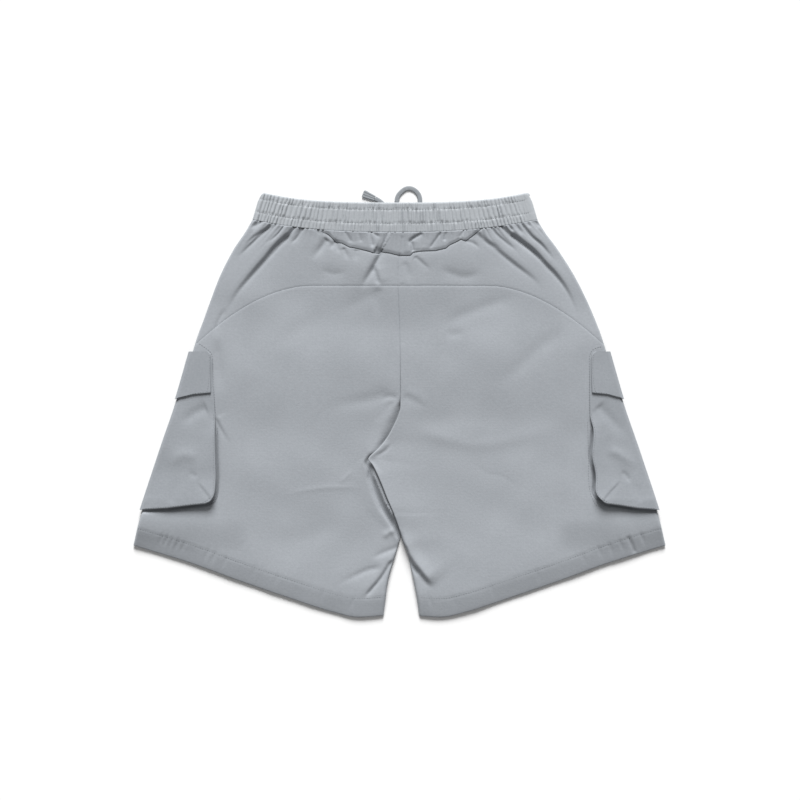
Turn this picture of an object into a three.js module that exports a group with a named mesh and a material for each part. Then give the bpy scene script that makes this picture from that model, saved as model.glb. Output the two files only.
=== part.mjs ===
// Cargo shorts with an elastic waist, laid flat on a table with the back upwards. Millimetres, +Z up.
// The waist points to +Y, the hems to -Y, and the origin lies on the table under the middle of the shorts.
// Each cut piece is a wall of cloth. The fronts lie on the table and the backs lie on the fronts. At the side
// folds and the inner legs the two turn towards each other and meet edge to edge.
import * as THREE from "three";

const { lerp, clamp, smoothstep } = THREE.MathUtils;

// Cloth and seams
const CLOTH = 1.2;
const SEAM_GAP = 0.3;
const LAYER = CLOTH + SEAM_GAP;
const AIR = 2.4; // between front and back, held open by the folded edges
const PRESSED_AIR = 0.6; // the same where the other leg lies on top
const FOLD_STEPS = 3;

// Waistband: two layers of cloth round a wide elastic
const BAND_WALL = 2.4;
const BAND_AIR = 1;
const BAND_TOP_Y = 265.7;
const BAND_TOP_RISE = 14.2; // how much higher the band's ends lie than its middle
const BAND_TOP_HALF = 177;
const BAND_FOOT_Y = 226.5;
const BAND_FOOT_RISE = 16.8;
const BAND_FOOT_HALF = 188;
const BAND_ROWS = [
  { down: 0, dip: 0.2 },
  { down: 0.13, dip: 0 },
  { down: 0.27, dip: 0.25 },
  { down: 0.48, dip: 0 },
  { down: 0.71, dip: 0.25 },
  { down: 0.86, dip: 0 },
  { down: 1, dip: 0.2 },
];
const GATHER_PITCH = 16;
const GATHER_DEPTH = 0.3;
const GATHER_COLUMNS = 18;
const BAND_FRONT_COLUMNS = 12;
const RIGHT_SIDE_SEAM = { top: 160, foot: 166 };

// The bulge over the drawcord, which lies between the front and the table
const CORD_LIFT = 3.2;
const LIFT_HALF = { full: 56, end: 140 };
const LIFT_Y = { end: 95, full: 165 };

// The middle seam of the back, which is also the middle of the fronts
const CROTCH_TOP_Y = 5;
const CENTRE_SEAM = [
  { y: 270, x: 3.3 },
  { y: 226, x: 3.3 },
  { y: 196, x: 0 },
  { y: 156, x: -2 },
  { y: 82, x: 0.7 },
  { y: CROTCH_TOP_Y, x: 1.2 },
];

// Back yoke, and the arched seam across the seat
const YOKE_HALF = 106;
const YOKE_END = 2.4;
const YOKE_COLUMNS = 7;
const YOKE_EDGE = [
  { x: 0, y: 196 },
  { x: 30, y: 199.5 },
  { x: 60, y: 206.5 },
  { x: 85, y: 214.5 },
  { x: YOKE_HALF, y: 227 },
];
const ARCH = { y: 156, flatHalf: 118, drop: 0.00764, power: 1.84, endHalf: 269.7, endY: 79 };

// Half widths from waist to hem, at the side folds. The waist lies a little to the left of the hems.
const WAIST_SHIFT = -6;
const SIDE_EDGE = [
  { y: 243, half: 188 },
  { y: 227, half: 197.5 },
  { y: 204, half: 213.8 },
  { y: 172, half: 232.3 },
  { y: 140, half: 246.8 },
  { y: 108, half: 259.4 },
  { y: ARCH.endY, half: ARCH.endHalf },
  { y: 5, half: 291 },
  { y: -58, half: 312.5 },
  { y: -142, half: 340 },
  { y: -186, half: 351 },
];
const HEM_EDGE = [
  { x: 20, y: -278.5 },
  { x: 57, y: -280.6 },
  { x: 86, y: -274.5 },
  { x: 120, y: -264 },
  { x: 205, y: -235 },
  { x: 275, y: -209.5 },
  { x: 351, y: -186 },
];

// Inner edges of the back legs. The right leg lies over the left one between CROTCH_TOP_Y and the legs' parting.
const PARTING_Y = -170;
const RIGHT_INNER = [
  { y: ARCH.y, side: ARCH.endY, x: -2 },
  { y: 118, side: 56, x: -0.6 },
  { y: 82, side: 34, x: 0.7 },
  { y: 44, side: 11, x: 1 },
  { y: CROTCH_TOP_Y, side: -10, x: 1.2 },
  { y: -12, side: -22, x: -1 },
  { y: -27, side: -34, x: -7.3 },
  { y: -43, side: -47, x: -16 },
  { y: -57, side: -59, x: -27 },
  { y: -71, side: -72, x: -41.6 },
  { y: -86, side: -85, x: -32 },
  { y: -123, side: -104, x: -16.5 },
  { y: -162, side: -122, x: -1 },
  { y: -179, side: -136, x: 3.6 },
  { y: -196, side: -148, x: 10.3 },
  { y: -228, side: -162, x: 17.5 },
  { y: -254, side: -174, x: 22.5 },
  { y: -278.5, side: -186, x: 26 },
];
const LEFT_INNER = [
  { y: ARCH.y, side: ARCH.endY, x: -2 },
  { y: 118, side: 56, x: -0.6 },
  { y: 82, side: 34, x: 0.7 },
  { y: 44, side: 11, x: 1 },
  { y: CROTCH_TOP_Y, side: -10, x: 1.2 },
  { y: -43, side: -36, x: 3 },
  { y: -71, side: -56, x: 3.4 },
  { y: -100, side: -76, x: 3.5 },
  { y: -132, side: -98, x: 3 },
  { y: -162, side: -120, x: 2 },
  { y: -179, side: -136, x: 0 },
  { y: -196, side: -148, x: -4.5 },
  { y: -228, side: -162, x: -14 },
  { y: -254, side: -174, x: -18 },
  { y: -278.5, side: -186, x: -21 },
];
const PRESSED_HALF = { full: 52, end: 80 };
const PRESSED_Y = { start: 44, full: 5, fullFoot: -182, end: -200 };

// The fronts have the hips' rows down to HIP_ROWS.innerEnd, then these, at their middle and at their side
const HIP_ROWS = { count: 7, innerEnd: 82 };
const FRONT_ROWS = [
  { y: 56, side: 56 },
  { y: 34, side: 34 },
  { y: 5, side: 11 },
  { y: -22, side: -10 },
  { y: -48, side: -30 },
  { y: -71, side: -50 },
  { y: -100, side: -72 },
  { y: -132, side: -94 },
  { y: -162, side: -116 },
  { y: -179, side: -132 },
  { y: -196, side: -146 },
  { y: -228, side: -162 },
  { y: -254, side: -174 },
  { y: -278.5, side: -186 },
];
const FRONT_COLUMNS = 6;
const SIDE_COLUMNS = 5; // of the backs, outside the yoke

// The largest folds below the waistband: troughs in the back, from a point at the band to one on the leg
const HIP_FOLDS = [
  { fromX: -142, fromY: 234, toX: -199, toY: 167, half: 13, depth: 1.6 },
  { fromX: -199, fromY: 167, toX: -236, toY: 109, half: 11, depth: 0.9 },
  { fromX: -168, fromY: 238, toX: -206, toY: 198, half: 9, depth: 1.1 },
  { fromX: 139, fromY: 233, toX: 195, toY: 184, half: 13, depth: 1.6 },
  { fromX: 195, fromY: 184, toX: 238, toY: 114, half: 11, depth: 0.9 },
  { fromX: 105, fromY: 217, toX: 191, toY: 147, half: 11, depth: 0.8 },
  { fromX: 163, fromY: 237, toX: 199, toY: 198, half: 9, depth: 1.1 },
];

// Cargo pockets, folded round the sides of the legs. Tables run from the pocket's inner edge to the fold.
const POCKET_LIFT = 2 * LAYER + SEAM_GAP;
const POCKET_MARGIN = { full: 24, end: 50, top: 84, topEnd: 108, foot: -162, footEnd: -190 };
const POCKET_COLUMNS = 4;
const BAG_TOP_Y = 59;
const BAG_ROWS = [
  { y: BAG_TOP_Y, left: 245, right: 250.5, raise: 0 },
  { y: 34, left: 246, right: 249.5, raise: 0 },
  { y: 8, left: 243.5, right: 250, raise: 0 },
  { y: -12, left: 242, right: 250.5, raise: 0 },
  { y: -28, left: 241, right: 253, raise: 1 },
  { y: -60, left: 241, right: 252.5, raise: 1 },
  { y: -92, left: 241.5, right: 256, raise: 1 },
  { y: -121, left: 243.5, right: 259.5, raise: 1 },
];
const BAG_FOOT = [
  { across: 0, y: -121 },
  { across: 0.06, y: -128.5 },
  { across: 0.3, y: -132 },
  { across: 1, y: -139 },
];
const BAG_BULGE = 3.2; // how far the bag's fold stands outside the leg's
const FLAP_ROWS = [
  { y: 69, left: 246, right: 252, raise: 0 },
  { y: 61, left: 248, right: 252.4, raise: 1 },
  { y: 38, left: 248, right: 252.4, raise: 1 },
  { y: 15, left: 248, right: 252.4, raise: 1 },
];
const FLAP_FOOT = [
  { across: 0, y: 15 },
  { across: 0.5, y: 12.5 },
  { across: 1, y: 9 },
];
const FLAP_BULGE = 5.6;
const GUSSET = { topY: -34, outside: 3.2, inside: 11, steps: 5, cornerSteps: 3, end: 0.86 };

// Drawcord: a flat braid, its two ends out of buttonholes in the front of the band
const CORD_WIDTH = 6;
const CORD_THICK = 1.8;
const CORD_SIDES = 8;
const CORD_STEPS = { left: 8, right: 30 };
const CORD_Z = 1;
const LEFT_CORD = [
  [-13, 236, 1.8],
  [-12.4, 242, 1.4],
  [-12.6, 248, CORD_Z],
  [-14.2, 254, CORD_Z],
  [-17.4, 259.4, CORD_Z],
  [-21.6, 264, CORD_Z],
  [-26.4, 268.2, CORD_Z],
  [-32.2, 271.6, CORD_Z],
];
const RIGHT_CORD = [
  [15, 238, 1.8],
  [12.4, 244, 1.4],
  [8.6, 250, CORD_Z],
  [4, 255.6, CORD_Z],
  [-0.6, 261, CORD_Z],
  [-3.4, 267.6, CORD_Z],
  [-2, 274.6, CORD_Z],
  [2.6, 280.4, CORD_Z],
  [8.6, 284.4, CORD_Z],
  [15, 284.8, CORD_Z],
  [21, 281.8, CORD_Z],
  [25.4, 276.4, CORD_Z],
  [27, 270, CORD_Z],
  [26.4, 262, CORD_Z],
  [25.6, 252, CORD_Z],
  [26, 241, CORD_Z],
  [27.4, 229, CORD_Z],
  [28.6, 217, CORD_Z],
  [28.4, 205, CORD_Z],
];
const TIP = { length: 17, wide: 11, narrow: 6.6, thick: 2.2, corner: 1.2 };

const cloth = new THREE.MeshStandardMaterial({ color: "#a6aaae", roughness: 0.82 });
const elasticCloth = new THREE.MeshStandardMaterial({ color: "#adb1b4", roughness: 0.8 });
const pocketCloth = new THREE.MeshStandardMaterial({ color: "#abafb3", roughness: 0.82 });
const braid = new THREE.MeshStandardMaterial({ color: "#84888b", roughness: 0.75 });

const shorts = new THREE.Group();
shorts.name = "cargo_shorts";

// One column of a table at a place in another column, straight between rows
function lookUp(table, key, at, column) {
  const next = table.findIndex((row, i) => i > 0 && (at - row[key]) * (row[key] - table[i - 1][key]) <= 0);
  const b = next < 0 ? table.length - 1 : next;
  const share = (at - table[b - 1][key]) / (table[b][key] - table[b - 1][key]);
  return lerp(table[b - 1][column], table[b][column], clamp(share, 0, 1));
}

// Lines in plan
const waistShift = (y) => WAIST_SHIFT * smoothstep(y, 100, 240);
const sideX = (side, y) => side * lookUp(SIDE_EDGE, "y", y, "half") + waistShift(y);
const bandTopY = (x) => BAND_TOP_Y + BAND_TOP_RISE * (Math.abs(x - WAIST_SHIFT) / BAND_TOP_HALF) ** 3;
const bandFootY = (x) => BAND_FOOT_Y + BAND_FOOT_RISE * (Math.abs(x - WAIST_SHIFT) / BAND_FOOT_HALF) ** 2.4;
const yokeY = (x) => Math.min(lookUp(YOKE_EDGE, "x", Math.abs(x), "y"), bandFootY(x) - YOKE_END);
const archY = (x) => ARCH.y - ARCH.drop * Math.max(Math.abs(x) - ARCH.flatHalf, 0) ** ARCH.power;
const hemY = (x) => lookUp(HEM_EDGE, "x", Math.abs(x), "y");
const centreX = (y) => lookUp(CENTRE_SEAM, "y", y, "x");

// How far the cloth is raised by the drawcord, and by the half pocket folded under the leg
function cordLift(x, y) {
  return CORD_LIFT * (1 - smoothstep(Math.abs(x), LIFT_HALF.full, LIFT_HALF.end)) * smoothstep(y, LIFT_Y.end, LIFT_Y.full);
}

function pocketLift(x, y) {
  const inner = x < 0 ? BAG_ROWS[3].left : BAG_ROWS[3].right;
  const across = smoothstep(Math.abs(x), inner - POCKET_MARGIN.end, inner - POCKET_MARGIN.full);
  const above = 1 - smoothstep(y, POCKET_MARGIN.top, POCKET_MARGIN.topEnd);
  return POCKET_LIFT * across * above * smoothstep(y, POCKET_MARGIN.footEnd, POCKET_MARGIN.foot);
}

// Where the right leg lies on the left one, from 0 to 1
function pressed(x, y) {
  const across = 1 - smoothstep(Math.abs(x), PRESSED_HALF.full, PRESSED_HALF.end);
  const above = 1 - smoothstep(y, PRESSED_Y.full, PRESSED_Y.start);
  return across * above * smoothstep(y, PRESSED_Y.end, PRESSED_Y.fullFoot);
}

function hipFold(x, y) {
  let deepest = 0;
  for (const fold of HIP_FOLDS) {
    const along = new THREE.Line3(
      new THREE.Vector3(fold.fromX, fold.fromY, 0),
      new THREE.Vector3(fold.toX, fold.toY, 0),
    );
    const place = new THREE.Vector3(x, y, 0);
    const nearest = along.closestPointToPoint(place, true, new THREE.Vector3());
    const away = nearest.distanceTo(place) / fold.half;
    deepest = Math.max(deepest, fold.depth * Math.max(0, 1 - away * away));
  }
  return deepest;
}

// Heights of the middle of each layer over the table
const frontLevel = (x, y) => CLOTH / 2 + cordLift(x, y) + pocketLift(x, y);
const rightBackLevel = (x, y) => frontLevel(x, y) + CLOTH + AIR - hipFold(x, y);
const leftBackLevel = (x, y) => rightBackLevel(x, y) - (AIR - PRESSED_AIR) * pressed(x, y);
const bandFrontLevel = (x, y) => BAND_WALL / 2 + cordLift(x, y);
const bandBackLevel = (x, y) => bandFrontLevel(x, y) + BAND_WALL + BAND_AIR;
const gather = (x) => GATHER_DEPTH * Math.sin((2 * Math.PI * x) / GATHER_PITCH);

function addMesh(name, geometry, material) {
  geometry.deleteAttribute("uv");
  geometry.computeVertexNormals();
  const mesh = new THREE.Mesh(geometry, material);
  mesh.name = name;
  shorts.add(mesh);
  return mesh;
}

// Six times the volume inside a closed mesh, below zero where its faces point inwards
function signedVolume(geometry) {
  const place = geometry.getAttribute("position");
  const index = geometry.getIndex();
  const corners = [new THREE.Vector3(), new THREE.Vector3(), new THREE.Vector3()];
  let sum = 0;
  for (let i = 0; i < index.count; i += 3) {
    corners.forEach((corner, k) => corner.fromBufferAttribute(place, index.getX(i + k)));
    sum += corners[0].dot(corners[1].cross(corners[2]));
  }
  return sum;
}

// A closed wall of cloth over a net of stations, each with its place and its outward direction
function clothWall(name, net, wall, material) {
  const rows = net.length - 1;
  const columns = net[0].length - 1;
  const geometry = new THREE.BoxGeometry(1, 1, 1, columns, rows, 1);
  const place = geometry.getAttribute("position");
  for (let i = 0; i < place.count; i++) {
    const column = Math.round((place.getX(i) + 0.5) * columns);
    const row = Math.round((place.getY(i) + 0.5) * rows);
    const { at, out } = net[row][column];
    const moved = at.clone().addScaledVector(out, place.getZ(i) * wall);
    place.setXYZ(i, moved.x, moved.y, moved.z);
  }
  if (signedVolume(geometry) < 0) {
    const index = geometry.getIndex();
    geometry.setIndex(Array.from(index.array).reverse());
  }
  return addMesh(name, geometry, material);
}

const flatStation = (x, y, z) => ({ at: new THREE.Vector3(x, y, z), out: new THREE.Vector3(0, 0, 1) });

// Stations round a fold whose outermost point is at x. The angle is 0 on top, and half a turn below.
function roundFold({ x, y, side, low, high, wall, from, to, steps }) {
  const radius = (high - low) / 2;
  const middle = new THREE.Vector3(x - side * (wall / 2 + radius), y, (high + low) / 2);
  return Array.from({ length: steps + 1 }, (_, k) => {
    const angle = lerp(from, to, k / steps);
    const out = new THREE.Vector3(side * Math.sin(angle), 0, Math.cos(angle));
    return { at: middle.clone().addScaledVector(out, radius), out };
  });
}

// The angle at which a fold's wall ends, so that two walls that meet there keep the seam gap
function seamAngle(low, high, wall) {
  return Math.acos(Math.min(0.95, SEAM_GAP / 2 / ((high - low) / 2 - wall / 2)));
}

// One panel as rows of stations. Each row runs from its inner edge to its outer edge, and an edge that folds turns
// towards the other layer. An edge with folds false in a row stays flat there, and one without folds has no turn.
function panelNet({ face, side, rows, shares, top, foot, wall, low, high }) {
  const first = rows[0];
  const last = rows[rows.length - 1];
  const bow = (line, row, across) => {
    const x = lerp(row.inner.x, row.outer.x, across);
    return line(x) - lerp(row.inner.y, row.outer.y, across);
  };
  const height = face > 0 ? high : low;

  return rows.map((row, i) => {
    const down = i / (rows.length - 1);
    const edge = (corner, direction, folds) => {
      if (folds === undefined) {
        return { start: corner.x - direction * (SEAM_GAP / 2), stations: [] };
      }
      const z = { low: low(corner.x, corner.y), high: high(corner.x, corner.y) };
      const radius = (z.high - z.low) / 2;
      const run = (radius * Math.PI) / 2;
      if (!folds) {
        const start = corner.x - direction * (SEAM_GAP / 2 + run);
        const stations = Array.from({ length: FOLD_STEPS }, (_, k) => {
          const x = start + (direction * run * (k + 1)) / FOLD_STEPS;
          return flatStation(x, corner.y, height(x, corner.y));
        });
        return { start, stations };
      }
      const turn = seamAngle(z.low, z.high, wall);
      const stations = roundFold({
        x: corner.x,
        y: corner.y,
        side: direction,
        low: z.low,
        high: z.high,
        wall,
        from: face > 0 ? 0 : Math.PI,
        to: face > 0 ? turn : Math.PI - turn,
        steps: FOLD_STEPS,
      }).slice(1);
      stations.forEach((station) => station.out.multiplyScalar(face));
      return { start: corner.x - direction * (wall / 2 + radius), stations };
    };
    const inner = edge(row.inner, -side, row.innerFolds);
    const outer = edge(row.outer, side, row.outerFolds);
    const flat = shares.map((share) => {
      const x = lerp(inner.start, outer.start, share);
      const across = (x - row.inner.x) / (row.outer.x - row.inner.x);
      const bowed = bow(top, first, across) * (1 - down) + bow(foot, last, across) * down;
      const y = lerp(row.inner.y, row.outer.y, across) + bowed;
      return flatStation(x, y, height(x, y));
    });
    return [...inner.stations.reverse(), ...flat, ...outer.stations];
  });
}

const evenShares = (count) => Array.from({ length: count + 1 }, (_, k) => k / count);
const corner = (x, y) => new THREE.Vector2(x, y);

// Columns of the backs: as many as the yoke has inside its end, then the rest out to the side
function backShares(side) {
  const radius = (CLOTH + AIR) / 2;
  const start = side * (SEAM_GAP / 2 + (radius * Math.PI) / 2);
  const end = sideX(side, SIDE_EDGE[0].y) - side * (CLOTH / 2 + radius);
  const yokeEnd = (side * (YOKE_HALF - SEAM_GAP / 2) - start) / (end - start);
  const inside = evenShares(YOKE_COLUMNS).map((share) => share * yokeEnd);
  const outside = evenShares(SIDE_COLUMNS).map((share) => lerp(yokeEnd, 1, share));
  return [...inside, ...outside.slice(1)];
}

function addYoke(side, name) {
  const end = side * YOKE_HALF;
  const rows = evenShares(4).map((down) => {
    const middleY = lerp(BAND_FOOT_Y - SEAM_GAP / 2, YOKE_EDGE[0].y + SEAM_GAP / 2, down);
    const endY = lerp(bandFootY(end) - SEAM_GAP / 2, yokeY(end) + SEAM_GAP / 2, down);
    return { inner: corner(centreX(middleY), middleY), outer: corner(end, endY), innerFolds: false };
  });
  const net = panelNet({
    face: 1,
    side,
    rows,
    shares: evenShares(YOKE_COLUMNS),
    top: (x) => bandFootY(x) - SEAM_GAP / 2,
    foot: (x) => yokeY(x) + SEAM_GAP / 2,
    low: frontLevel,
    high: rightBackLevel,
    wall: CLOTH,
  });
  clothWall(name, net, CLOTH, cloth);
}

function addHip(side, name) {
  const topY = YOKE_EDGE[0].y - SEAM_GAP / 2;
  const footY = ARCH.y + SEAM_GAP / 2;
  const rows = evenShares(HIP_ROWS.count).map((down) => {
    const innerY = lerp(topY, footY, down);
    const outerY = lerp(SIDE_EDGE[0].y - SEAM_GAP / 2, ARCH.endY + SEAM_GAP / 2, down);
    return {
      inner: corner(centreX(innerY), innerY),
      outer: corner(sideX(side, outerY), outerY),
      innerFolds: false,
      outerFolds: true,
    };
  });
  const net = panelNet({
    face: 1,
    side,
    rows,
    shares: backShares(side),
    top: (x) => (Math.abs(x) < YOKE_HALF ? yokeY(x) : bandFootY(x)) - SEAM_GAP / 2,
    foot: (x) => archY(x) + SEAM_GAP / 2,
    low: frontLevel,
    high: rightBackLevel,
    wall: CLOTH,
  });
  clothWall(name, net, CLOTH, cloth);
}

function addBackLeg(side, name, table, level) {
  const foldFrom = side < 0 ? RIGHT_INNER[9].y : PARTING_Y;
  const rows = table.map((row) => {
    const seam = row === table[0] ? SEAM_GAP / 2 : 0;
    return {
      inner: corner(row.x, row.y - seam),
      outer: corner(sideX(side, row.side), row.side - seam),
      innerFolds: row.y <= foldFrom,
      outerFolds: true,
    };
  });
  const net = panelNet({
    face: 1,
    side,
    rows,
    shares: backShares(side),
    top: (x) => archY(x) - SEAM_GAP / 2,
    foot: hemY,
    low: frontLevel,
    high: level,
    wall: CLOTH,
  });
  clothWall(name, net, CLOTH, cloth);
}

function addFront(side, name, level) {
  const innerX = (y) => {
    if (y > CROTCH_TOP_Y) {
      return centreX(y);
    }
    return y > PARTING_Y || side < 0 ? lookUp(LEFT_INNER, "y", y, "x") : lookUp(RIGHT_INNER, "y", y, "x");
  };
  const foldFrom = side < 0 ? RIGHT_INNER[9].y : PARTING_Y;
  const hipRows = evenShares(HIP_ROWS.count).map((down) => ({
    y: lerp(BAND_FOOT_Y - SEAM_GAP / 2, HIP_ROWS.innerEnd, down),
    side: lerp(SIDE_EDGE[0].y - SEAM_GAP / 2, ARCH.endY, down),
  }));
  const rows = [...hipRows, ...FRONT_ROWS].map((row) => ({
    inner: corner(innerX(row.y), row.y),
    outer: corner(sideX(side, row.side), row.side),
    innerFolds: row.y <= foldFrom,
    outerFolds: true,
  }));
  const net = panelNet({
    face: -1,
    side,
    rows,
    shares: evenShares(FRONT_COLUMNS),
    top: (x) => bandFootY(x) - SEAM_GAP / 2,
    foot: hemY,
    low: frontLevel,
    high: level,
    wall: CLOTH,
  });
  clothWall(name, net, CLOTH, cloth);
}

// One row of the waistband between two places, at one share of its height
function bandRow(down, from, to, count, height, sign) {
  return evenShares(count).map((share) => {
    const x = lerp(from, to, share);
    const y = lerp(bandTopY(x), bandFootY(x), down);
    return flatStation(x, y, height(x, y) + sign * gather(x));
  });
}

function bandEnd(side, down, from, to, steps) {
  const x = WAIST_SHIFT + side * lerp(BAND_TOP_HALF, BAND_FOOT_HALF, down);
  const y = lerp(bandTopY(x), bandFootY(x), down);
  const low = bandFrontLevel(x, y);
  const high = bandBackLevel(x, y);
  return {
    start: x - side * (BAND_WALL / 2 + (high - low) / 2),
    stations: roundFold({ x, y, side, low, high, wall: BAND_WALL, from, to, steps }),
  };
}

function addWaistband() {
  const bandSeam = seamAngle(0, BAND_WALL + BAND_AIR, BAND_WALL);
  const sideSeam = (down) => lerp(RIGHT_SIDE_SEAM.top, RIGHT_SIDE_SEAM.foot, down);

  const left = BAND_ROWS.map(({ down, dip }) => {
    const end = bandEnd(-1, down, bandSeam, 0, FOLD_STEPS);
    const middle = centreX(BAND_TOP_Y) - SEAM_GAP / 2;
    const lowered = (x, y) => bandBackLevel(x, y) - dip;
    return [...end.stations.slice(0, -1), ...bandRow(down, end.start, middle, GATHER_COLUMNS, lowered, 1)];
  });
  clothWall("waistband_back_left", left, BAND_WALL, elasticCloth);

  const right = BAND_ROWS.map(({ down, dip }) => {
    const lowered = (x, y) => bandBackLevel(x, y) - dip;
    const middle = centreX(BAND_TOP_Y) + SEAM_GAP / 2;
    return bandRow(down, middle, sideSeam(down) - SEAM_GAP / 2, GATHER_COLUMNS, lowered, 1);
  });
  clothWall("waistband_back_right", right, BAND_WALL, elasticCloth);

  const front = BAND_ROWS.map(({ down, dip }) => {
    const leftEnd = bandEnd(-1, down, Math.PI - bandSeam, Math.PI, FOLD_STEPS);
    const rightEnd = bandEnd(1, down, Math.PI, 0, 2 * FOLD_STEPS);
    const lowered = (x, y) => bandBackLevel(x, y) - dip;
    const under = bandRow(down, leftEnd.start, rightEnd.start, BAND_FRONT_COLUMNS, bandFrontLevel, 0);
    const lap = bandRow(down, rightEnd.start, sideSeam(down) + SEAM_GAP / 2, 1, lowered, 0);
    under.forEach((station) => station.out.negate());
    return [...leftEnd.stations.slice(0, -1), ...under, ...rightEnd.stations.slice(1, -1), ...lap];
  });
  clothWall("waistband_front", front, BAND_WALL, elasticCloth);
}

// The lower half of a pocket piece, its fold and its upper half, from rows that give each edge
function wrapNet({ side, rows, key, foot, bulge, low, high, columns }) {
  const last = rows[rows.length - 1];
  return rows.map((row, i) => {
    const down = i / (rows.length - 1);
    const drop = (across) => (lookUp(foot, "across", across, "y") - last.y) * down ** 3;
    const foldY = row.y + drop(1);
    const foldX = sideX(side, foldY) + side * bulge;
    const z = { low: low(row), high: high(row) };
    const start = foldX - side * (CLOTH / 2 + (z.high - z.low) / 2);
    const half = (height) => evenShares(columns).map((share) => {
      const x = lerp(side * row[key], start, share);
      return flatStation(x, row.y + drop((x - side * row[key]) / (foldX - side * row[key])), height);
    });
    const fold = roundFold({
      x: foldX,
      y: foldY,
      side,
      low: z.low,
      high: z.high,
      wall: CLOTH,
      from: Math.PI,
      to: 0,
      steps: 2 * FOLD_STEPS,
    });
    const under = half(z.low);
    under.forEach((station) => station.out.negate());
    return [...under, ...fold.slice(1, -1), ...half(z.high).reverse()];
  });
}

// Level of the leg's back under a pocket
const LEG_TOP = CLOTH / 2 + POCKET_LIFT + CLOTH + AIR;

function addPocket(side, key) {
  const bag = wrapNet({
    side,
    rows: BAG_ROWS,
    key,
    foot: BAG_FOOT,
    bulge: BAG_BULGE,
    low: (row) => CLOTH / 2 + (1 - row.raise) * LAYER,
    high: (row) => LEG_TOP + LAYER + row.raise * (LAYER + 0.1),
    columns: POCKET_COLUMNS,
  });
  clothWall(`pocket_bag_${key}`, bag, CLOTH, pocketCloth);

  const flap = wrapNet({
    side,
    rows: FLAP_ROWS,
    key,
    foot: FLAP_FOOT,
    bulge: FLAP_BULGE,
    low: () => CLOTH / 2,
    high: (row) => LEG_TOP + LAYER + row.raise * LAYER,
    columns: POCKET_COLUMNS,
  });
  clothWall(`pocket_flap_${key}`, flap, CLOTH, pocketCloth);
  addGusset(side, key);
}

// The bellows strip lies folded flat on the leg, under the bag's inner edge, round its corner and along its foot
function addGusset(side, key) {
  const z = LEG_TOP + LAYER;
  const last = BAG_ROWS[BAG_ROWS.length - 1];
  const path = [];
  for (const share of evenShares(GUSSET.steps)) {
    const y = lerp(GUSSET.topY, last.y + GUSSET.inside, share);
    path.push(corner(side * lookUp(BAG_ROWS, "y", y, key), y));
  }
  const innerX = side * last[key];
  const foldX = sideX(side, lookUp(BAG_FOOT, "across", 1, "y"));
  for (const share of evenShares(GUSSET.steps + GUSSET.cornerSteps)) {
    const across = lerp(GUSSET.inside / Math.abs(foldX - innerX), GUSSET.end, share);
    path.push(corner(lerp(innerX, foldX, across), lookUp(BAG_FOOT, "across", across, "y")));
  }
  const net = path.map((point, i) => {
    const along = path[Math.min(i + 1, path.length - 1)].clone().sub(path[Math.max(i - 1, 0)]).normalize();
    const inwards = new THREE.Vector2(-along.y, along.x).multiplyScalar(side);
    const outer = point.clone().addScaledVector(inwards, -GUSSET.outside);
    const inner = point.clone().addScaledVector(inwards, GUSSET.inside);
    return [flatStation(outer.x, outer.y, z), flatStation(inner.x, inner.y, z)];
  });
  clothWall(`pocket_gusset_${key}`, net, CLOTH, pocketCloth);
}

function addCord(name, route, steps) {
  const path = new THREE.CatmullRomCurve3(route.map(([x, y, z]) => new THREE.Vector3(x, y, z)), false, "centripetal");
  const section = new THREE.Shape();
  for (let k = 0; k < CORD_SIDES; k++) {
    const angle = (2 * Math.PI * k) / CORD_SIDES;
    const point = [(CORD_THICK / 2) * Math.cos(angle), (CORD_WIDTH / 2) * Math.sin(angle)];
    if (k === 0) {
      section.moveTo(...point);
    } else {
      section.lineTo(...point);
    }
  }
  section.closePath();
  addMesh(name, new THREE.ExtrudeGeometry(section, { steps, extrudePath: path }), braid);
}

// A tip widens away from the cord's end and lies flat on the table
function addTip(name, route) {
  const end = new THREE.Vector2(...route[route.length - 1]);
  const before = new THREE.Vector2(...route[route.length - 2]);
  const along = end.clone().sub(before).normalize();
  const shape = new THREE.Shape();
  shape.moveTo(0, -TIP.narrow / 2);
  shape.lineTo(TIP.length - TIP.corner, -TIP.wide / 2);
  shape.lineTo(TIP.length, -TIP.wide / 2 + TIP.corner);
  shape.lineTo(TIP.length, TIP.wide / 2 - TIP.corner);
  shape.lineTo(TIP.length - TIP.corner, TIP.wide / 2);
  shape.lineTo(0, TIP.narrow / 2);
  shape.closePath();
  const tip = addMesh(name, new THREE.ExtrudeGeometry(shape, { depth: TIP.thick, bevelEnabled: false }), braid);
  const foot = end.addScaledVector(along, SEAM_GAP);
  tip.position.set(foot.x, foot.y, 0);
  tip.rotation.z = along.angle();
}

addWaistband();
addYoke(-1, "back_yoke_left");
addYoke(1, "back_yoke_right");
addHip(-1, "back_hip_left");
addHip(1, "back_hip_right");
addBackLeg(-1, "back_leg_left", LEFT_INNER, leftBackLevel);
addBackLeg(1, "back_leg_right", RIGHT_INNER, rightBackLevel);
addFront(-1, "front_left", leftBackLevel);
addFront(1, "front_right", rightBackLevel);
addPocket(-1, "left");
addPocket(1, "right");
addCord("drawcord_left", LEFT_CORD, CORD_STEPS.left);
addCord("drawcord_right", RIGHT_CORD, CORD_STEPS.right);
addTip("cord_tip_left", LEFT_CORD);
addTip("cord_tip_right", RIGHT_CORD);

export default shorts;
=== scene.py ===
import math

import bmesh
import bpy
import numpy as np
from mathutils import Matrix, Vector


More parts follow.
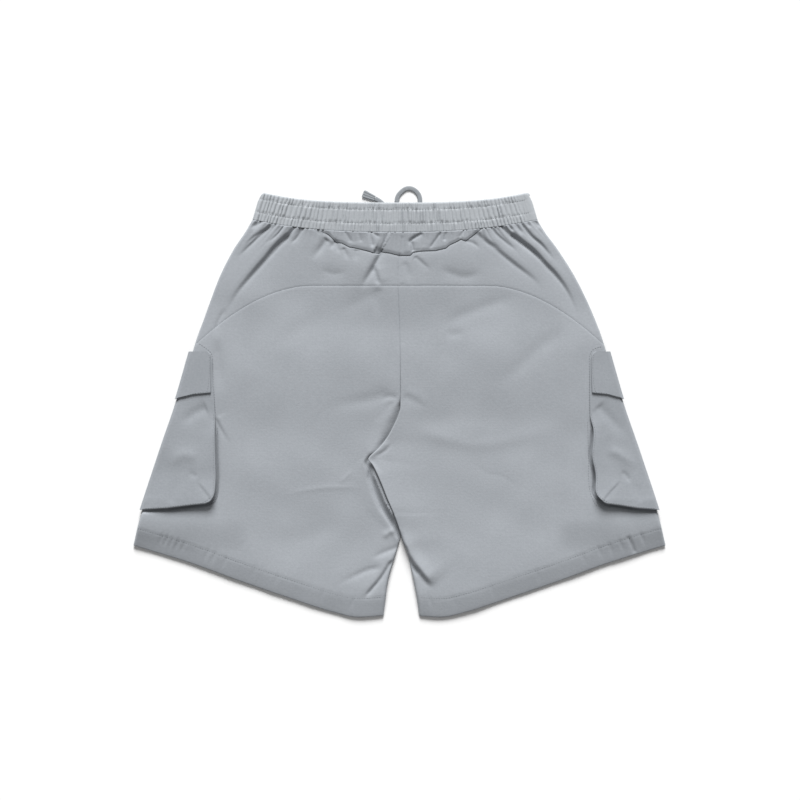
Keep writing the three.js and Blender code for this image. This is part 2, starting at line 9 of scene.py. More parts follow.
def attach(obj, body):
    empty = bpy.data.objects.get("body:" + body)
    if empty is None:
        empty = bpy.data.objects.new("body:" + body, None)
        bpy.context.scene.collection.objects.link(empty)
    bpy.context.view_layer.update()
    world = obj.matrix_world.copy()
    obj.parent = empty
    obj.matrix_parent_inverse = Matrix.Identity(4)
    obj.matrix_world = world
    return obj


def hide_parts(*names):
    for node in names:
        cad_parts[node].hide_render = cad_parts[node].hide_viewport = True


bl_info = {
    "name": "Cargo Shorts Laid Flat",
    "version": (1, 0, 0),
    "blender": (4, 5, 0),
    "location": "View3D > Sidebar > Shorts",
    "description": "Builds the cloth, pockets, waistband and drawcord of a pair of cargo shorts",
    "category": "Object",
}

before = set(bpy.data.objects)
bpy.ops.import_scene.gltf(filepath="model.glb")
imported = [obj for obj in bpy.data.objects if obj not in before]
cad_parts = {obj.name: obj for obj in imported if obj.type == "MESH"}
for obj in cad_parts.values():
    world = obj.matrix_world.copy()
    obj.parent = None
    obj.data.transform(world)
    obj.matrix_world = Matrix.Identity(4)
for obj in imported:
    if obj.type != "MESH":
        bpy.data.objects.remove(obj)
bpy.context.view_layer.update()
MM = 0.001

# Levels of the layers' outer faces over the table
FRONT_TOP = 1.2
BACK_TOP = 4.9
BAND_BACK_TOP = 5.8
LOWEST_BACK = 2.1

# Waistband
WAIST_SHIFT = -6.0
BAND_TOP_Y, BAND_TOP_RISE, BAND_TOP_HALF = 265.7, 14.2, 177.0
BAND_FOOT_Y, BAND_FOOT_RISE, BAND_FOOT_HALF = 226.5, 16.8, 188.0
BAND_STITCH_DOWN = (0.232, 0.695)  # the two rows that hold the elastic, as shares of the band's height
BAND_SIDE_SEAM = (160.0, 166.0)  # the right side seam, at the top and at the foot

# The bulge over the drawcord, and over the half pocket folded under the leg
CORD_LIFT = 3.2
POCKET_LIFT = 3.3

# Edges of the cut pieces, the same as in the solids
CENTRE_SEAM = ((3.3, 270), (3.3, 226), (0, 196), (-2, 156), (0.7, 82), (1.2, 5))
YOKE_HALF = 106.0
ARCH_Y, ARCH_FLAT, ARCH_DROP, ARCH_POWER = 156.0, 118.0, 0.00764, 1.84
ARCH_END_Y, ARCH_END_HALF = 79.0, 269.7
SIDE_EDGE = (
    (188, 243), (197.5, 227), (213.8, 204), (232.3, 172), (246.8, 140), (259.4, 108), (269.7, 79),
    (291, 5), (312.5, -58), (340, -142), (351, -186),
)
HEM_EDGE = (
    (20, -278.5), (57, -280.6), (86, -274.5), (120, -264), (205, -235), (275, -209.5), (351, -186),
)
RIGHT_INNER = (
    (-2, 156), (0.7, 82), (1.2, 5), (-1, -12), (-7.3, -27), (-16, -43), (-27, -57), (-41, -71), (-36, -79),
    (-32, -86), (-24, -104), (-16.5, -123), (-8, -143), (-1, -162), (3.6, -179), (10.3, -196), (17.5, -228),
    (22.5, -254), (26, -278.5),
)
LEFT_INNER = (
    (-2, 156), (0.7, 82), (1.2, 5), (3, -43), (3.4, -71), (3.5, -100), (3, -132), (2, -162), (0, -179),
    (-4.5, -196), (-14, -228), (-18, -254), (-21, -278.5),
)
V_SEAM = (
    (-106, 230.6), (-95, 224.5), (-90, 220.5), (-83.5, 213), (-76, 212.3), (-66, 207), (-57, 205.4),
    (-40.5, 201.4), (-33.5, 199), (-26.5, 197.6), (-23.5, 200.6), (-13.5, 199.2), (0, 195.9), (14.5, 196),
    (18, 200.2), (30, 201.7), (47, 202.2), (61, 205.4), (66.5, 210), (75, 213.8), (81, 217.2), (86.5, 214.8),
    (91, 217.8), (102, 226.4), (106, 229.4),
)
HEM_DEPTH = 25.0

# Drawcord: the same two routes as its solids
CORD_WIDTH, CORD_THICK = 6.0, 1.8
CORD_Z = 1.0
LEFT_CORD = (
    (-13, 236, 1.8), (-12.4, 242, 1.4), (-12.6, 248, CORD_Z), (-14.2, 254, CORD_Z), (-17.4, 259.4, CORD_Z),
    (-21.6, 264, CORD_Z), (-26.4, 268.2, CORD_Z), (-32.2, 271.6, CORD_Z),
)
RIGHT_CORD = (
    (15, 238, 1.8), (12.4, 244, 1.4), (8.6, 250, CORD_Z), (4, 255.6, CORD_Z), (-0.6, 261, CORD_Z),
    (-3.4, 267.6, CORD_Z), (-2, 274.6, CORD_Z), (2.6, 280.4, CORD_Z), (8.6, 284.4, CORD_Z),
    (15, 284.8, CORD_Z), (21, 281.8, CORD_Z), (25.4, 276.4, CORD_Z), (27, 270, CORD_Z), (26.4, 262, CORD_Z),
    (25.6, 252, CORD_Z), (26, 241, CORD_Z), (27.4, 229, CORD_Z), (28.6, 217, CORD_Z), (28.4, 205, CORD_Z),
)
TIP_LENGTH, TIP_WIDE, TIP_NARROW, TIP_THICK = 17.0, 11.0, 6.6, 2.2
TIP_TURN = 158.0  # the way the left tab points, in degrees


# Lines in plan

def smooth_line(points, steps=6):
    """A smooth line through points, as an array with that many steps between two of them."""
    p = np.array(points, float)
    ends = np.vstack([2 * p[0] - p[1], p, 2 * p[-1] - p[-2]])
    t = np.linspace(0, 1, steps, endpoint=False)[:, None]
    pieces = []
    for a, b, c, d in zip(ends, ends[1:], ends[2:], ends[3:]):
        pieces.append(0.5 * (2 * b + (c - a) * t + (2 * a - 5 * b + 4 * c - d) * t**2
                             + (3 * b - a - 3 * c + d) * t**3))
    return np.vstack([*pieces, p[-1:]])


def spread_along(line, shares):
    """Points on a line at shares of its length."""
    run = np.r_[0, np.cumsum(np.linalg.norm(np.diff(line, axis=0), axis=1))]
    return np.stack([np.interp(shares * run[-1], run, line[:, k]) for k in range(line.shape[1])], 1)


def length_of(line):
    return float(np.linalg.norm(np.diff(line, axis=0), axis=1).sum())


def smoothstep(low, high, value):
    t = np.clip((value - low) / (high - low), 0, 1)
    return t * t * (3 - 2 * t)


def column_at(points, y):
    """The x of a line given as points with falling y."""
    line = smooth_line(points)
    return np.interp(-np.asarray(y, float), -line[:, 1], line[:, 0])


def side_x(side, y):
    return side * column_at(SIDE_EDGE, y) + WAIST_SHIFT * smoothstep(100, 240, np.asarray(y, float))


def band_top_y(x):
    return BAND_TOP_Y + BAND_TOP_RISE * (np.abs(x - WAIST_SHIFT) / BAND_TOP_HALF) ** 3


def band_foot_y(x):
    return BAND_FOOT_Y + BAND_FOOT_RISE * (np.abs(x - WAIST_SHIFT) / BAND_FOOT_HALF) ** 2.4


def arch_y(x):
    return ARCH_Y - ARCH_DROP * np.maximum(np.abs(x) - ARCH_FLAT, 0) ** ARCH_POWER


def hem_y(x):
    line = smooth_line(HEM_EDGE)
    return np.interp(np.abs(x), line[:, 0], line[:, 1])


def nearest_on(line, x, y):
    """For each point: its distance from a line, signed by side, and the share of the line's length there."""
    best = np.full(x.shape, 1e9)
    signed = np.full(x.shape, 1e9)
    share = np.zeros(x.shape)
    steps = np.diff(line, axis=0)
    lengths = np.maximum(np.linalg.norm(steps, axis=1), 1e-9)
    run = np.r_[0, np.cumsum(lengths)]
    for start, step, length, before in zip(line, steps, lengths, run):
        dx, dy = x - start[0], y - start[1]
        along = np.clip((dx * step[0] + dy * step[1]) / length**2, 0, 1)
        away = np.hypot(dx - along * step[0], dy - along * step[1])
        closer = away < best
        turn = np.where(step[0] * dy - step[1] * dx < 0, -1, 1)
        best = np.where(closer, away, best)
        signed = np.where(closer, away * turn, signed)
        share = np.where(closer, (before + along * length) / run[-1], share)
    return signed, share


# Creases: each is a line with a depth below the cloth (above it where negative), the half width of its narrow
# core, that of its soft shoulders, the height of the roll of cloth beside it (on its left, or right where
# negative), how its depth comes in at the start and goes out at the end, as shares of its length, and how much
# higher the cloth on its left lies where it laps over.
def crease(line, depth, core, soft, roll=0.0, start=0.0, end=0.5, lap=0.0):
    return {"line": line, "depth": depth, "core": core, "soft": soft, "roll": roll, "start": start, "end": end,
            "lap": lap}


HIP_CREASES = (
    crease(((-141, 236), (-147, 224), (-161, 211), (-178, 192), (-197, 170), (-216, 146), (-233, 115)),
           2.4, 4.6, 14, 0, 0, 0.6, lap=-4.0),
    crease(((-146, 224), (-161, 210), (-177, 191)), 2.0, 2.2, 4, 0, 0.1, 0.4),
    crease(((-167, 240), (-186, 222), (-206, 202), (-216, 192)), 1.6, 3.0, 9, 0, 0, 0.5, lap=-2.6),
    crease(((-172, 233), (-193, 220), (-208, 203)), 1.3, 1.7, 5, 0, 0, 0.5, lap=-0.8),
    crease(((-182, 242), (-197, 232)), 2.2, 2.6, 5, 0, 0, 0.5, lap=-1.2),
    crease(((-129, 233), (-137, 219), (-146, 212)), 1.6, 2.6, 7, 0, 0, 0.5, lap=-1.6),
    crease(((-151, 238), (-161, 224), (-178, 210)), 1.2, 1.6, 5, 0, 0, 0.5, lap=-0.6),
    crease(((-230, 128), (-240, 108), (-246, 92)), 0.9, 3, 9, 0, 0.3, 0.4, lap=-0.5),
    crease(((137, 235), (147, 225), (162, 214), (178, 202), (193, 186), (208, 170), (223, 148), (238, 114)),
           2.4, 4.0, 12, 0, 0, 0.5, lap=4.0),
    crease(((146, 226), (170, 207), (190, 188)), 2.0, 2.2, 4, 0, 0.1, 0.4),
    crease(((161, 239), (174, 223), (187, 212), (197, 200), (207, 188)), 1.6, 2.8, 8, 0, 0, 0.5, lap=2.6),
    crease(((123, 233), (129, 225), (139, 216), (146, 210), (157, 202)), 1.5, 2.8, 8, 0, 0, 0.5, lap=1.8),
    crease(((101, 229), (115, 216), (126, 209), (135, 200), (156, 183), (181, 163), (191, 146)),
           1.4, 4.6, 14, 0, 0.05, 0.5, lap=2.4),
    crease(((91, 215), (99, 212), (107, 204)), 1.0, 2.0, 6, 0, 0, 0.5, lap=0.6),
    crease(((144, 235), (151, 227)), 1.5, 1.7, 4),
    crease(((153, 237), (164, 222)), 1.6, 1.7, 4, 0, 0, 0.5, lap=0.6),
    crease(((166, 239), (174, 233)), 1.4, 1.5, 4),
    crease(((178, 241), (187, 233)), 2.0, 2.0, 4, 0, 0, 0.5, lap=0.8),
    crease(((-26, 199), (-32, 189), (-39, 176), (-48, 160), (-50, 148)), 2.4, 4.4, 11, 0, 0, 0.6, lap=-3.2),
    crease(((-33, 184), (-30, 172), (-25, 156)), 1.8, 2.6, 6, 0, 0.3, 0.3, lap=2.0),
    crease(((-27, 156), (-30, 138), (-28, 112)), 0.8, 5, 9, 0, 0.2, 0.6),
    crease(((-96, 220), (-108, 203), (-118, 190)), 2.2, 5, 13, 0, 0.1, 0.6, lap=-1.8),
    crease(((-87, 213), (-92, 204)), 1.2, 2.4, 5, 0, 0, 0.6, lap=-0.8),
    crease(((-82, 213), (-78, 197)), 1.2, 2.4, 6, 0, 0, 0.6, lap=0.8),
    crease(((-73, 207), (-65, 188)), 1.2, 2.6, 7, 0, 0.1, 0.6, lap=1.0),
    crease(((-57, 204), (-58, 186)), 0.7, 2.6, 7, 0, 0.1, 0.6),
    crease(((-106, 182), (-85, 174), (-68, 180)), 0.6, 6, 11, 0, 0.4, 0.4, lap=0.6),
    crease(((52, 184), (84, 172), (112, 180)), 0.9, 9, 15, 0, 0.3, 0.4, lap=1.2),
    crease(((20, 196), (30, 188), (42, 176)), 0.8, 3, 9, 0, 0.1, 0.5, lap=1.0),
    crease(((8, 190), (14, 172), (12, 158)), 0.6, 4, 9, 0, 0.2, 0.5, lap=0.6),
)
YOKE_CREASES = (
    crease(((-40, 226), (-35, 206)), 1.6, 1.5, 4, 0, 0, 0.2, lap=-0.8),
    crease(((-38, 228), (-24, 219)), 1.4, 1.5, 4, 0, 0, 0.4, lap=0.6),
    crease(((-33, 203), (-24, 199)), 2.4, 5.0, 9, 0, 0.1, 0.1),
    crease(((-14, 228), (-20, 214), (-26, 200)), 1.4, 1.4, 4, 0, 0.05, 0.05),
    crease(((30, 226), (14, 216), (16, 210), (17, 201)), 2.0, 2.0, 5, 0, 0.05, 0.05, lap=-1.6),
    crease(((53, 225), (39, 205)), 1.3, 1.6, 4, 0, 0, 0.2, lap=-1.0),
    crease(((61, 225), (59, 214)), 1.2, 1.3, 3, 0, 0, 0.3),
    crease(((-70, 226), (-62, 212)), 1.0, 1.8, 5, 0, 0, 0.3, lap=0.6),
    crease(((-54, 226), (-50, 212)), 0.8, 1.5, 4, 0, 0, 0.3),
    crease(((84, 229), (78, 219)), 1.0, 1.6, 4, 0, 0, 0.3, lap=-0.6),
    crease(((4, 222), (4, 199)), 0.5, 1.2, 3, 0, 0.1, 0.1),
)
LEG_CREASES = (
    crease(((-241, 90), (-241, 80), (-238, 44), (-236, 10)), 1.3, 6, 14, 0, 0.3, 0.5),
    crease(((162, 144), (120, 131), (76, 114), (51, 94)), 0.9, 8, 18, 0, 0.4, 0.3),
    crease(((58, 97), (72, 92), (88, 96)), 0.6, 5, 10, 0, 0.4, 0.4),
    crease(((228, 96), (192, 81), (152, 44), (114, 21)), 1.0, 10, 22, 0, 0.3, 0.5),
    crease(((16, -30), (51, -43), (102, -53), (152, -46), (196, -34), (226, -22)), -0.8, 9, 16, 0, 0.2, 0.6),
    crease(((89, -70), (114, -90), (137, -96), (162, -116)), 0.2, 3, 10, 0, 0.4, 0.4),
    crease(((-5, 18), (-40, 6), (-75, 0), (-105, -10)), 0.9, 8, 15, 0, 0.2, 0.6),
    crease(((-3, 8), (-14, 10), (-26, 4)), 0.6, 2.6, 6, 0.3, 0.1, 0.5),
    crease(((5, 12), (20, 4), (40, -8)), 0.4, 4, 9, 0.3, 0.1, 0.6),
    crease(((-92, 120), (-132, 100), (-180, 62)), 0.7, 12, 24, 0, 0.4, 0.5),
    crease(((-20, 150), (-50, 138), (-80, 118)), 0.7, 9, 16, 0, 0.3, 0.4),
    crease(((-163, -121), (-117, -112), (-80, -109), (-42, -110)), -0.4, 2.4, 8, 0, 0.5, 0.3),
    crease(((-80, -105), (-59, -85)), -0.4, 1.8, 6, 0, 0.3, 0.4),
    crease(((-12, -47), (-26, -58), (-41, -69)), -0.8, 6, 12, 0, 0.3, 0.2),
    crease(((-60, -150), (-120, -175), (-180, -180)), 0.5, 12, 26, 0, 0.4, 0.5),
    crease(((-242, -16), (-233, -34), (-220, -56)), 0.9, 1.8, 6, 0, 0.1, 0.7, lap=1.3),
    crease(((300, -172), (311, -196)), 1.1, 1.4, 4, 0.3, 0.2, 0.1),
)
LEFT_INNER_CREASES = (
    crease(((-20, -213), (-30, -216), (-43, -219), (-65, -229), (-88, -239)), 1.2, 3.6, 11, 0, 0.2, 0.6),
    crease(((-4, -189), (-24, -197), (-39, -204)), 1.1, 3.0, 9, 0.2, 0, 0.5),
    crease(((-13, -209), (-20, -221), (-27, -231), (-38, -244), (-48, -256)), 2.4, 2.0, 5, 0, 0, 0.25,
           lap=-2.0),
    crease(((-37.6, -84), (-28.4, -105), (-19, -128), (-10.6, -144), (-10, -157)), -3.6, 1.3, 2.0, 0, 0.2, 0.2),
    crease(((-22, -176), (-13, -168), (-5, -168)), -1.5, 3.0, 5, 0, 0.3, 0.2),
)
RIGHT_INNER_CREASES = (
    crease(((8, -190), (10.8, -196), (18, -208), (30, -223), (45, -242)), 1.6, 5.0, 14, 0, 0.0, 0.3, lap=6.0),
    crease(((12, -200), (17, -213), (27, -226)), 1.2, 2.4, 4, 0, 0.2, 0.3),
    crease(((-40, -71), (-28, -82), (-22, -96)), 0.6, 4, 8, 0, 0.2, 0.5),
    crease(((-36, -70), (-20, -62), (-8, -48)), 0.8, 2.4, 7, 0.3, 0.3, 0.4),
    crease(((14, -150), (22, -180), (40, -215)), 0.4, 7, 14, 0, 0.4, 0.4),
)
HEM_PUCKERS = (  # centre along x, strength
    (-312, 0.5), (-306, 0.7), (-299, 0.5), (-291, 0.6), (-283, 0.4), (-252, 0.4), (-243, 0.45), (-228, 0.3),
    (-190, 0.2), (-160, 0.25), (-100, 0.2), (-60, 0.3), (40, 0.3), (70, 0.2), (120, 0.2), (180, 0.25),
    (240, 0.3), (262, 0.4), (276, 0.4), (290, 0.5), (303, 0.5), (318, 0.6),
)


def crease_height(creases, x, y):
    """The sum of the creases at points, in millimetres above the smooth cloth."""
    total = np.zeros(x.shape)
    for c in creases:
        line = smooth_line(c["line"], 4)
        reach = 3.2 * c["soft"]
        low, high = line.min(0) - reach, line.max(0) + reach
        inside = (x > low[0]) & (x < high[0]) & (y > low[1]) & (y < high[1])
        if not inside.any():
            continue
        away, share = nearest_on(line, x[inside], y[inside])
        strength = np.ones(share.shape)
        if c["start"] > 0:
            strength *= smoothstep(0, c["start"], share)
        if c["end"] > 0:
            strength *= 1 - smoothstep(1 - c["end"], 1, share)
        core = np.exp(-(away / c["core"]) ** 2)
        soft = np.exp(-(away / c["soft"]) ** 2)
        roll_side = away * (1 if c["roll"] >= 0 else -1) - 1.9 * c["core"]
        roll = abs(c["roll"]) * np.exp(-(roll_side / (1.5 * c["core"])) ** 2)
        total[inside] += strength * (roll - c["depth"] * (0.62 * core + 0.38 * soft))
        if c["lap"]:
            over = away * np.sign(c["lap"])
            step = smoothstep(-0.75 * c["core"], 0.75 * c["core"], over)
            total[inside] += strength * abs(c["lap"]) * step * np.exp(-np.maximum(over, 0) / c["soft"])
    return total


def unevenness(x, y, seed, size, count=26):
    """A seeded soft unevenness of the cloth, from long waves in many directions, about size high."""
    rng = np.random.default_rng(seed)
    total = np.zeros(x.shape)
    for _ in range(count):
        wave = rng.uniform(26, 120)
        angle, phase = rng.uniform(0, math.pi), rng.uniform(0, 2 * math.pi)
        run = x * math.cos(angle) + y * math.sin(angle)
        total += wave / 120 * np.sin(2 * math.pi * run / wave + phase)
    return total * size / math.sqrt(count)


def seam_height(line, x, y, depth, half, step=0.0):
    """A seam's groove, and the step between its two sides, which dies out away from it."""
    low, high = line.min(0) - 14, line.max(0) + 14
    inside = (x > low[0]) & (x < high[0]) & (y > low[1]) & (y < high[1])
    total = np.zeros(x.shape)
    if inside.any():
        away, _ = nearest_on(line, x[inside], y[inside])
        near = np.abs(away)
        total[inside] = -depth * np.exp(-(near / half) ** 2) + step * np.sign(away) * np.exp(-near / 5)
    return total


def arch_line():
    x = np.linspace(-ARCH_END_HALF, ARCH_END_HALF, 90)
    return np.stack([x, arch_y(x)], 1)


def foot_gathers(x, y):
    """Short puckers that the elastic makes in the cloth just below the waistband."""
    rng = np.random.default_rng(31)
    below = band_foot_y(x) - y
    fan = x + np.sign(x - WAIST_SHIFT) * -0.75 * below * smoothstep(90, 150, np.abs(x - WAIST_SHIFT))
    total = np.zeros(x.shape)
    place = -192.0
    while place < 182:
        depth, reach = rng.uniform(0.4, 1.9), rng.uniform(4, 15)
        half = rng.uniform(0.9, 1.6)
        total -= depth * np.exp(-((fan - place) / half) ** 2) * np.exp(-np.maximum(below, 0) / reach)
        place += rng.uniform(4, 8)
    return total


def band_side_lift(x, y):
    """The cloth just below the band is as high as the band that it is sewn to."""
    return 2.0 * np.exp(-np.maximum(band_foot_y(x) - y, 0) / 10)


def hem_puckers(x, y):
    """Small puckers across the hem's stitching."""
    above = y - hem_y(x)
    total = np.zeros(x.shape)
    for place, depth in HEM_PUCKERS:
        lean = place + 0.32 * math.copysign(1, place) * (HEM_DEPTH - above)
        across = np.exp(-((x - lean) / 1.9) ** 2)
        total -= 1.7 * depth * across * np.exp(-((above - HEM_DEPTH + 5) / 8) ** 2)
    return total


SWELLS = (  # soft hills of the cloth: centre, half sizes, height
    (125, 52, 130, 62, 4.2), (-128, 40, 120, 60, 3.4), (-220, 150, 40, 60, 1.6), (215, 150, 40, 60, 1.2),
    (-150, -95, 90, 50, 2.4), (160, -110, 110, 50, 1.8), (70, 200, 60, 26, 1.0), (-80, 190, 50, 24, 1.0),
    (90, -36, 60, 14, 1.0), (-60, 62, 50, 30, 0.8), (60, -190, 50, 40, 1.0), (-120, -200, 90, 40, -0.8),
)


def swells(x, y):
    total = np.zeros(x.shape)
    for cx, cy, half_x, half_y, height in SWELLS:
        total += height * np.exp(-((x - cx) / half_x) ** 2 - ((y - cy) / half_y) ** 2)
    return total


def cord_lift(x, y):
    return CORD_LIFT * (1 - smoothstep(56, 140, np.abs(x))) * smoothstep(95, 165, y)


def pocket_lift(x, y):
    inner = np.where(x < 0, 242.0, 250.5)
    across = smoothstep(inner - 50, inner - 22, np.abs(x))
    return POCKET_LIFT * across * (1 - smoothstep(66, 140, y)) * smoothstep(-196, -150, y)


def pressed(x, y):
    """Where the right leg lies on the left one, from 0 to 1."""
    across = 1 - smoothstep(44, 80, np.abs(x + 6))
    return across * (1 - smoothstep(5, 44, y)) * smoothstep(-200, -182, y)


def back_height(x, y, creases=()):
    """The outer face of the back's cloth, without the turns at its edges."""
    x, y = np.asarray(x, float), np.asarray(y, float)
    z = BACK_TOP + cord_lift(x, y) + pocket_lift(x, y) + unevenness(x, y, 5, 0.6) + swells(x, y)
    z += band_side_lift(x, y)
    z += 1.35 * crease_height((*creases, *HIP_CREASES, *LEG_CREASES), x, y)
    z += seam_height(arch_line(), x, y, 0.25, 1.3, -0.16)
    z += seam_height(smooth_line([p for p in CENTRE_SEAM if p[1] < 200]), x, y, 0.5, 1.8)
    z += seam_height(np.array([(3.4, 158), (3.8, 120), (4.6, 80)]), x, y, 0.45, 1.6)
    z += foot_gathers(x, y)
    z += hem_puckers(x, y)
    above = y - hem_y(x)
    z += 3.2 * np.exp(-((above - 30) / np.where(above > 30, 60, 20)) ** 2) - 0.45 * (0.6 + 0.4 * np.sin(x * 1.45)) * np.exp(-((above - HEM_DEPTH) / 0.9) ** 2)
    z -= 1.5 * np.exp(-np.maximum(above, 0) / 7)
    return np.maximum(z, LOWEST_BACK)


# Edges of a cloth panel: how far the edge reaches in, how far down it goes, and how round it is
def edge(kind, reach, drop):
    return {"kind": kind, "reach": reach, "drop": drop}


SEAM = edge("seam", 1.5, 0.45)
FAINT_SEAM = edge("seam", 1.2, 0.15)
DEEP_SEAM = edge("seam", 1.5, 1.4)
FREE = edge("free", 1.1, 0.9)
FOLD = edge("fold", 3.4, 0.0)
PLAIN = edge("plain", 1.0, 0.0)
EDGE_STEPS = 5


def edge_distances(kind, steps):
    """How far from an edge its rows of points lie, closer together where the cloth turns."""
    angles = np.linspace(math.pi / 2, 0, steps + 1)
    return kind["reach"] * (1 - np.sin(angles))


def shares_between(length, count, first, last):
    """Shares of a length for a row of points: fine near both edges and even between them."""
    start = edge_distances(first, EDGE_STEPS)
    end = edge_distances(last, EDGE_STEPS)
    middle = np.linspace(start[-1], length - end[-1], count - 2 * EDGE_STEPS)
    return np.r_[start[:-1], middle, length - end[:-1][::-1]] / length


def turned_down(kind, distance, height, level):
    """The height near an edge, where the cloth turns down to the level or by the edge's drop."""
    if kind["kind"] == "plain":
        return height
    into = np.clip(1 - distance / kind["reach"], 0, 1)
    curve = 1 - np.sqrt(np.clip(1 - into**2, 0, 1))
    drop = height - level if kind["kind"] == "fold" else kind["drop"]
    return height - drop * curve


def panel_points(lines, counts, edges, height, level):
    """A panel as rows of points. lines and edges are (top, foot, inner, outer), counts are rows and columns."""
    top, foot, inner, outer = lines
    rows, columns = counts
    nominal_v = np.linspace(0, 1, rows)
    nominal_u = np.linspace(0, 1, columns)
    row_length = np.linalg.norm(spread_along(inner, nominal_v) - spread_along(outer, nominal_v), axis=1)
    column_length = np.linalg.norm(spread_along(top, nominal_u) - spread_along(foot, nominal_u), axis=1)
    u = np.array([shares_between(n, columns, edges[2], edges[3]) for n in row_length])
    v = np.array([shares_between(n, rows, edges[0], edges[1]) for n in column_length]).T

    def on(line, share):
        return spread_along(line, share.ravel()).reshape(*share.shape, 2)

    a, b = u[..., None], v[..., None]
    plan = (1 - b) * on(top, u) + b * on(foot, u) + (1 - a) * on(inner, v) + a * on(outer, v)
    plan -= (1 - a) * (1 - b) * top[0] + a * (1 - b) * top[-1] + (1 - a) * b * foot[0] + a * b * foot[-1]
    x, y = plan[..., 0], plan[..., 1]
    z = height(x, y)
    distances = (
        v * column_length[None, :], (1 - v) * column_length[None, :],
        u * row_length[:, None], (1 - u) * row_length[:, None],
    )
    for kind, distance in zip(edges, distances):
        z = turned_down(kind, distance, z, level)
    return np.dstack([x, y, z])


def facing(points, row, column):
    """The z of the normal of one cell of a net of points, which runs along columns and then down rows."""
    a, b, c = points[row, column], points[row, column + 1], points[row + 1, column]
    return float(np.cross(c - a, b - a)[2])


def mesh_from_points(name, points, up=True, probe=(0.5, 0.5)):
    """A grid whose vertices take the places of a net of points, turned so that its outer face points outwards."""
    rows, columns = points.shape[:2]
    row, column = int(probe[0] * (rows - 2)), int(probe[1] * (columns - 2))
    if (facing(points, row, column) > 0) != up:
        points = points[:, ::-1]
    bm = bmesh.new()
    bmesh.ops.create_grid(bm, x_segments=columns - 1, y_segments=rows - 1, size=1)
    mesh = bpy.data.meshes.new(name)
    bm.to_mesh(mesh)
    bm.free()
    flat = np.zeros(len(mesh.vertices) * 3)
    mesh.vertices.foreach_get("co", flat)
    flat = flat.reshape(-1, 3)
    at_column = np.rint((flat[:, 0] + 1) / 2 * (columns - 1)).astype(int)
    at_row = np.rint((1 - flat[:, 1]) / 2 * (rows - 1)).astype(int)
    mesh.vertices.foreach_set("co", (points[at_row, at_column] * MM).ravel())
    mesh.update()
    return mesh


def linked(name, mesh):
    thing = bpy.data.objects.new(name, mesh)
    bpy.context.scene.collection.objects.link(thing)
    return thing


def thicken(thing, thickness):
    """Gives a cloth its thickness inwards, keeps its rims crisp and the rest smooth."""
    solid = thing.modifiers.new("cloth thickness", "SOLIDIFY")
    solid.thickness = thickness * MM
    solid.offset = -1
    solid.use_rim = True
    bpy.context.view_layer.update()
    shown = thing.evaluated_get(bpy.context.evaluated_depsgraph_get())
    wall = bpy.data.meshes.new_from_object(shown)
    for vertex in wall.vertices:
        vertex.co.z = max(vertex.co.z, 0.03 * MM)
    thing.modifiers.clear()
    thing.data = wall
    wall.shade_smooth()
    wall.set_sharp_from_angle(angle=math.radians(62))
    return thing


def cloth_piece(name, points, node, material, up=True, probe=(0.5, 0.5), thickness=None):
    """One cloth piece from a net of points, standing for its solid."""
    thickness = thickness or bpy.context.scene.shorts_sizes.cloth_thickness / MM
    thing = thicken(linked(name, mesh_from_points(name, points, up, probe)), thickness)
    thing.data.materials.append(material)
    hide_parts(node)
    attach(thing, "root")
    return thing


# Stitches: joined into one mesh for each row or group of rows
def stitch_mesh(name, rows, width, material):
    """Small rounded stitches. Each row is (points with height, pitch, share of the pitch that shows)."""
    bm = bmesh.new()
    for line, pitch, shown in rows:
        count = max(1, int(length_of(line) / pitch))
        ends = spread_along(line, np.linspace(0, 1, count + 1))
        for start, end in zip(ends, ends[1:]):
            middle = Vector((start + end) / 2)
            along = Vector(end - start)
            half = along.length * shown / 2
            place = (Matrix.Translation(middle * MM) @ along.to_track_quat("X", "Z").to_matrix().to_4x4()
                     @ Matrix.Diagonal((half * MM, width / 2 * MM, width / 2.4 * MM, 1)))
            bmesh.ops.create_uvsphere(bm, u_segments=6, v_segments=4, radius=1, matrix=place)
    mesh = bpy.data.meshes.new(name)
    bm.to_mesh(mesh)
    bm.free()
    mesh.shade_smooth()
    thing = linked(name, mesh)
    mesh.materials.append(material)
    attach(thing, "root")
    return thing


def on_surface(line, height, above):
    """A line in plan with the cloth's height added."""
    z = height(line[:, 0], line[:, 1]) + above
    return np.column_stack([line, z])


# The cut of each panel, as its top, foot, inner and outer lines
def hip_lines(side):
    centre = smooth_line([p for p in CENTRE_SEAM if p[1] <= 226])
    outer_y = np.linspace(243, ARCH_END_Y, 60)
    outer = np.stack([side_x(side, outer_y), outer_y], 1)
    seam = np.array([p for p in (V_SEAM if side > 0 else V_SEAM[::-1]) if p[0] * side >= -0.1])
    x = np.linspace(side * (YOKE_HALF + 4), outer[0, 0], 30)
    top = np.vstack([seam, np.stack([x, band_foot_y(x)], 1)[:-1], outer[:1]])
    middle_y = np.linspace(top[0, 1], ARCH_Y, 20)
    inner = np.stack([np.interp(-middle_y, -centre[:, 1], centre[:, 0]), middle_y], 1)
    top[0], inner[0] = inner[0], inner[0]
    x = np.linspace(inner[-1, 0], outer[-1, 0], 60)
    foot = np.stack([x, arch_y(x)], 1)
    foot[-1] = outer[-1]
    return top, foot, inner, outer


def yoke_lines(side):
    seam = np.array([p for p in (V_SEAM if side > 0 else V_SEAM[::-1]) if p[0] * side >= -0.1])
    x = np.linspace(3.3, side * YOKE_HALF, 40)
    top = np.stack([x, band_foot_y(x)], 1)
    seam[-1, 1] = min(seam[-1, 1], top[-1, 1] - 1.5)
    return top, seam, np.array([top[0], seam[0]]), np.array([top[-1], seam[-1]])


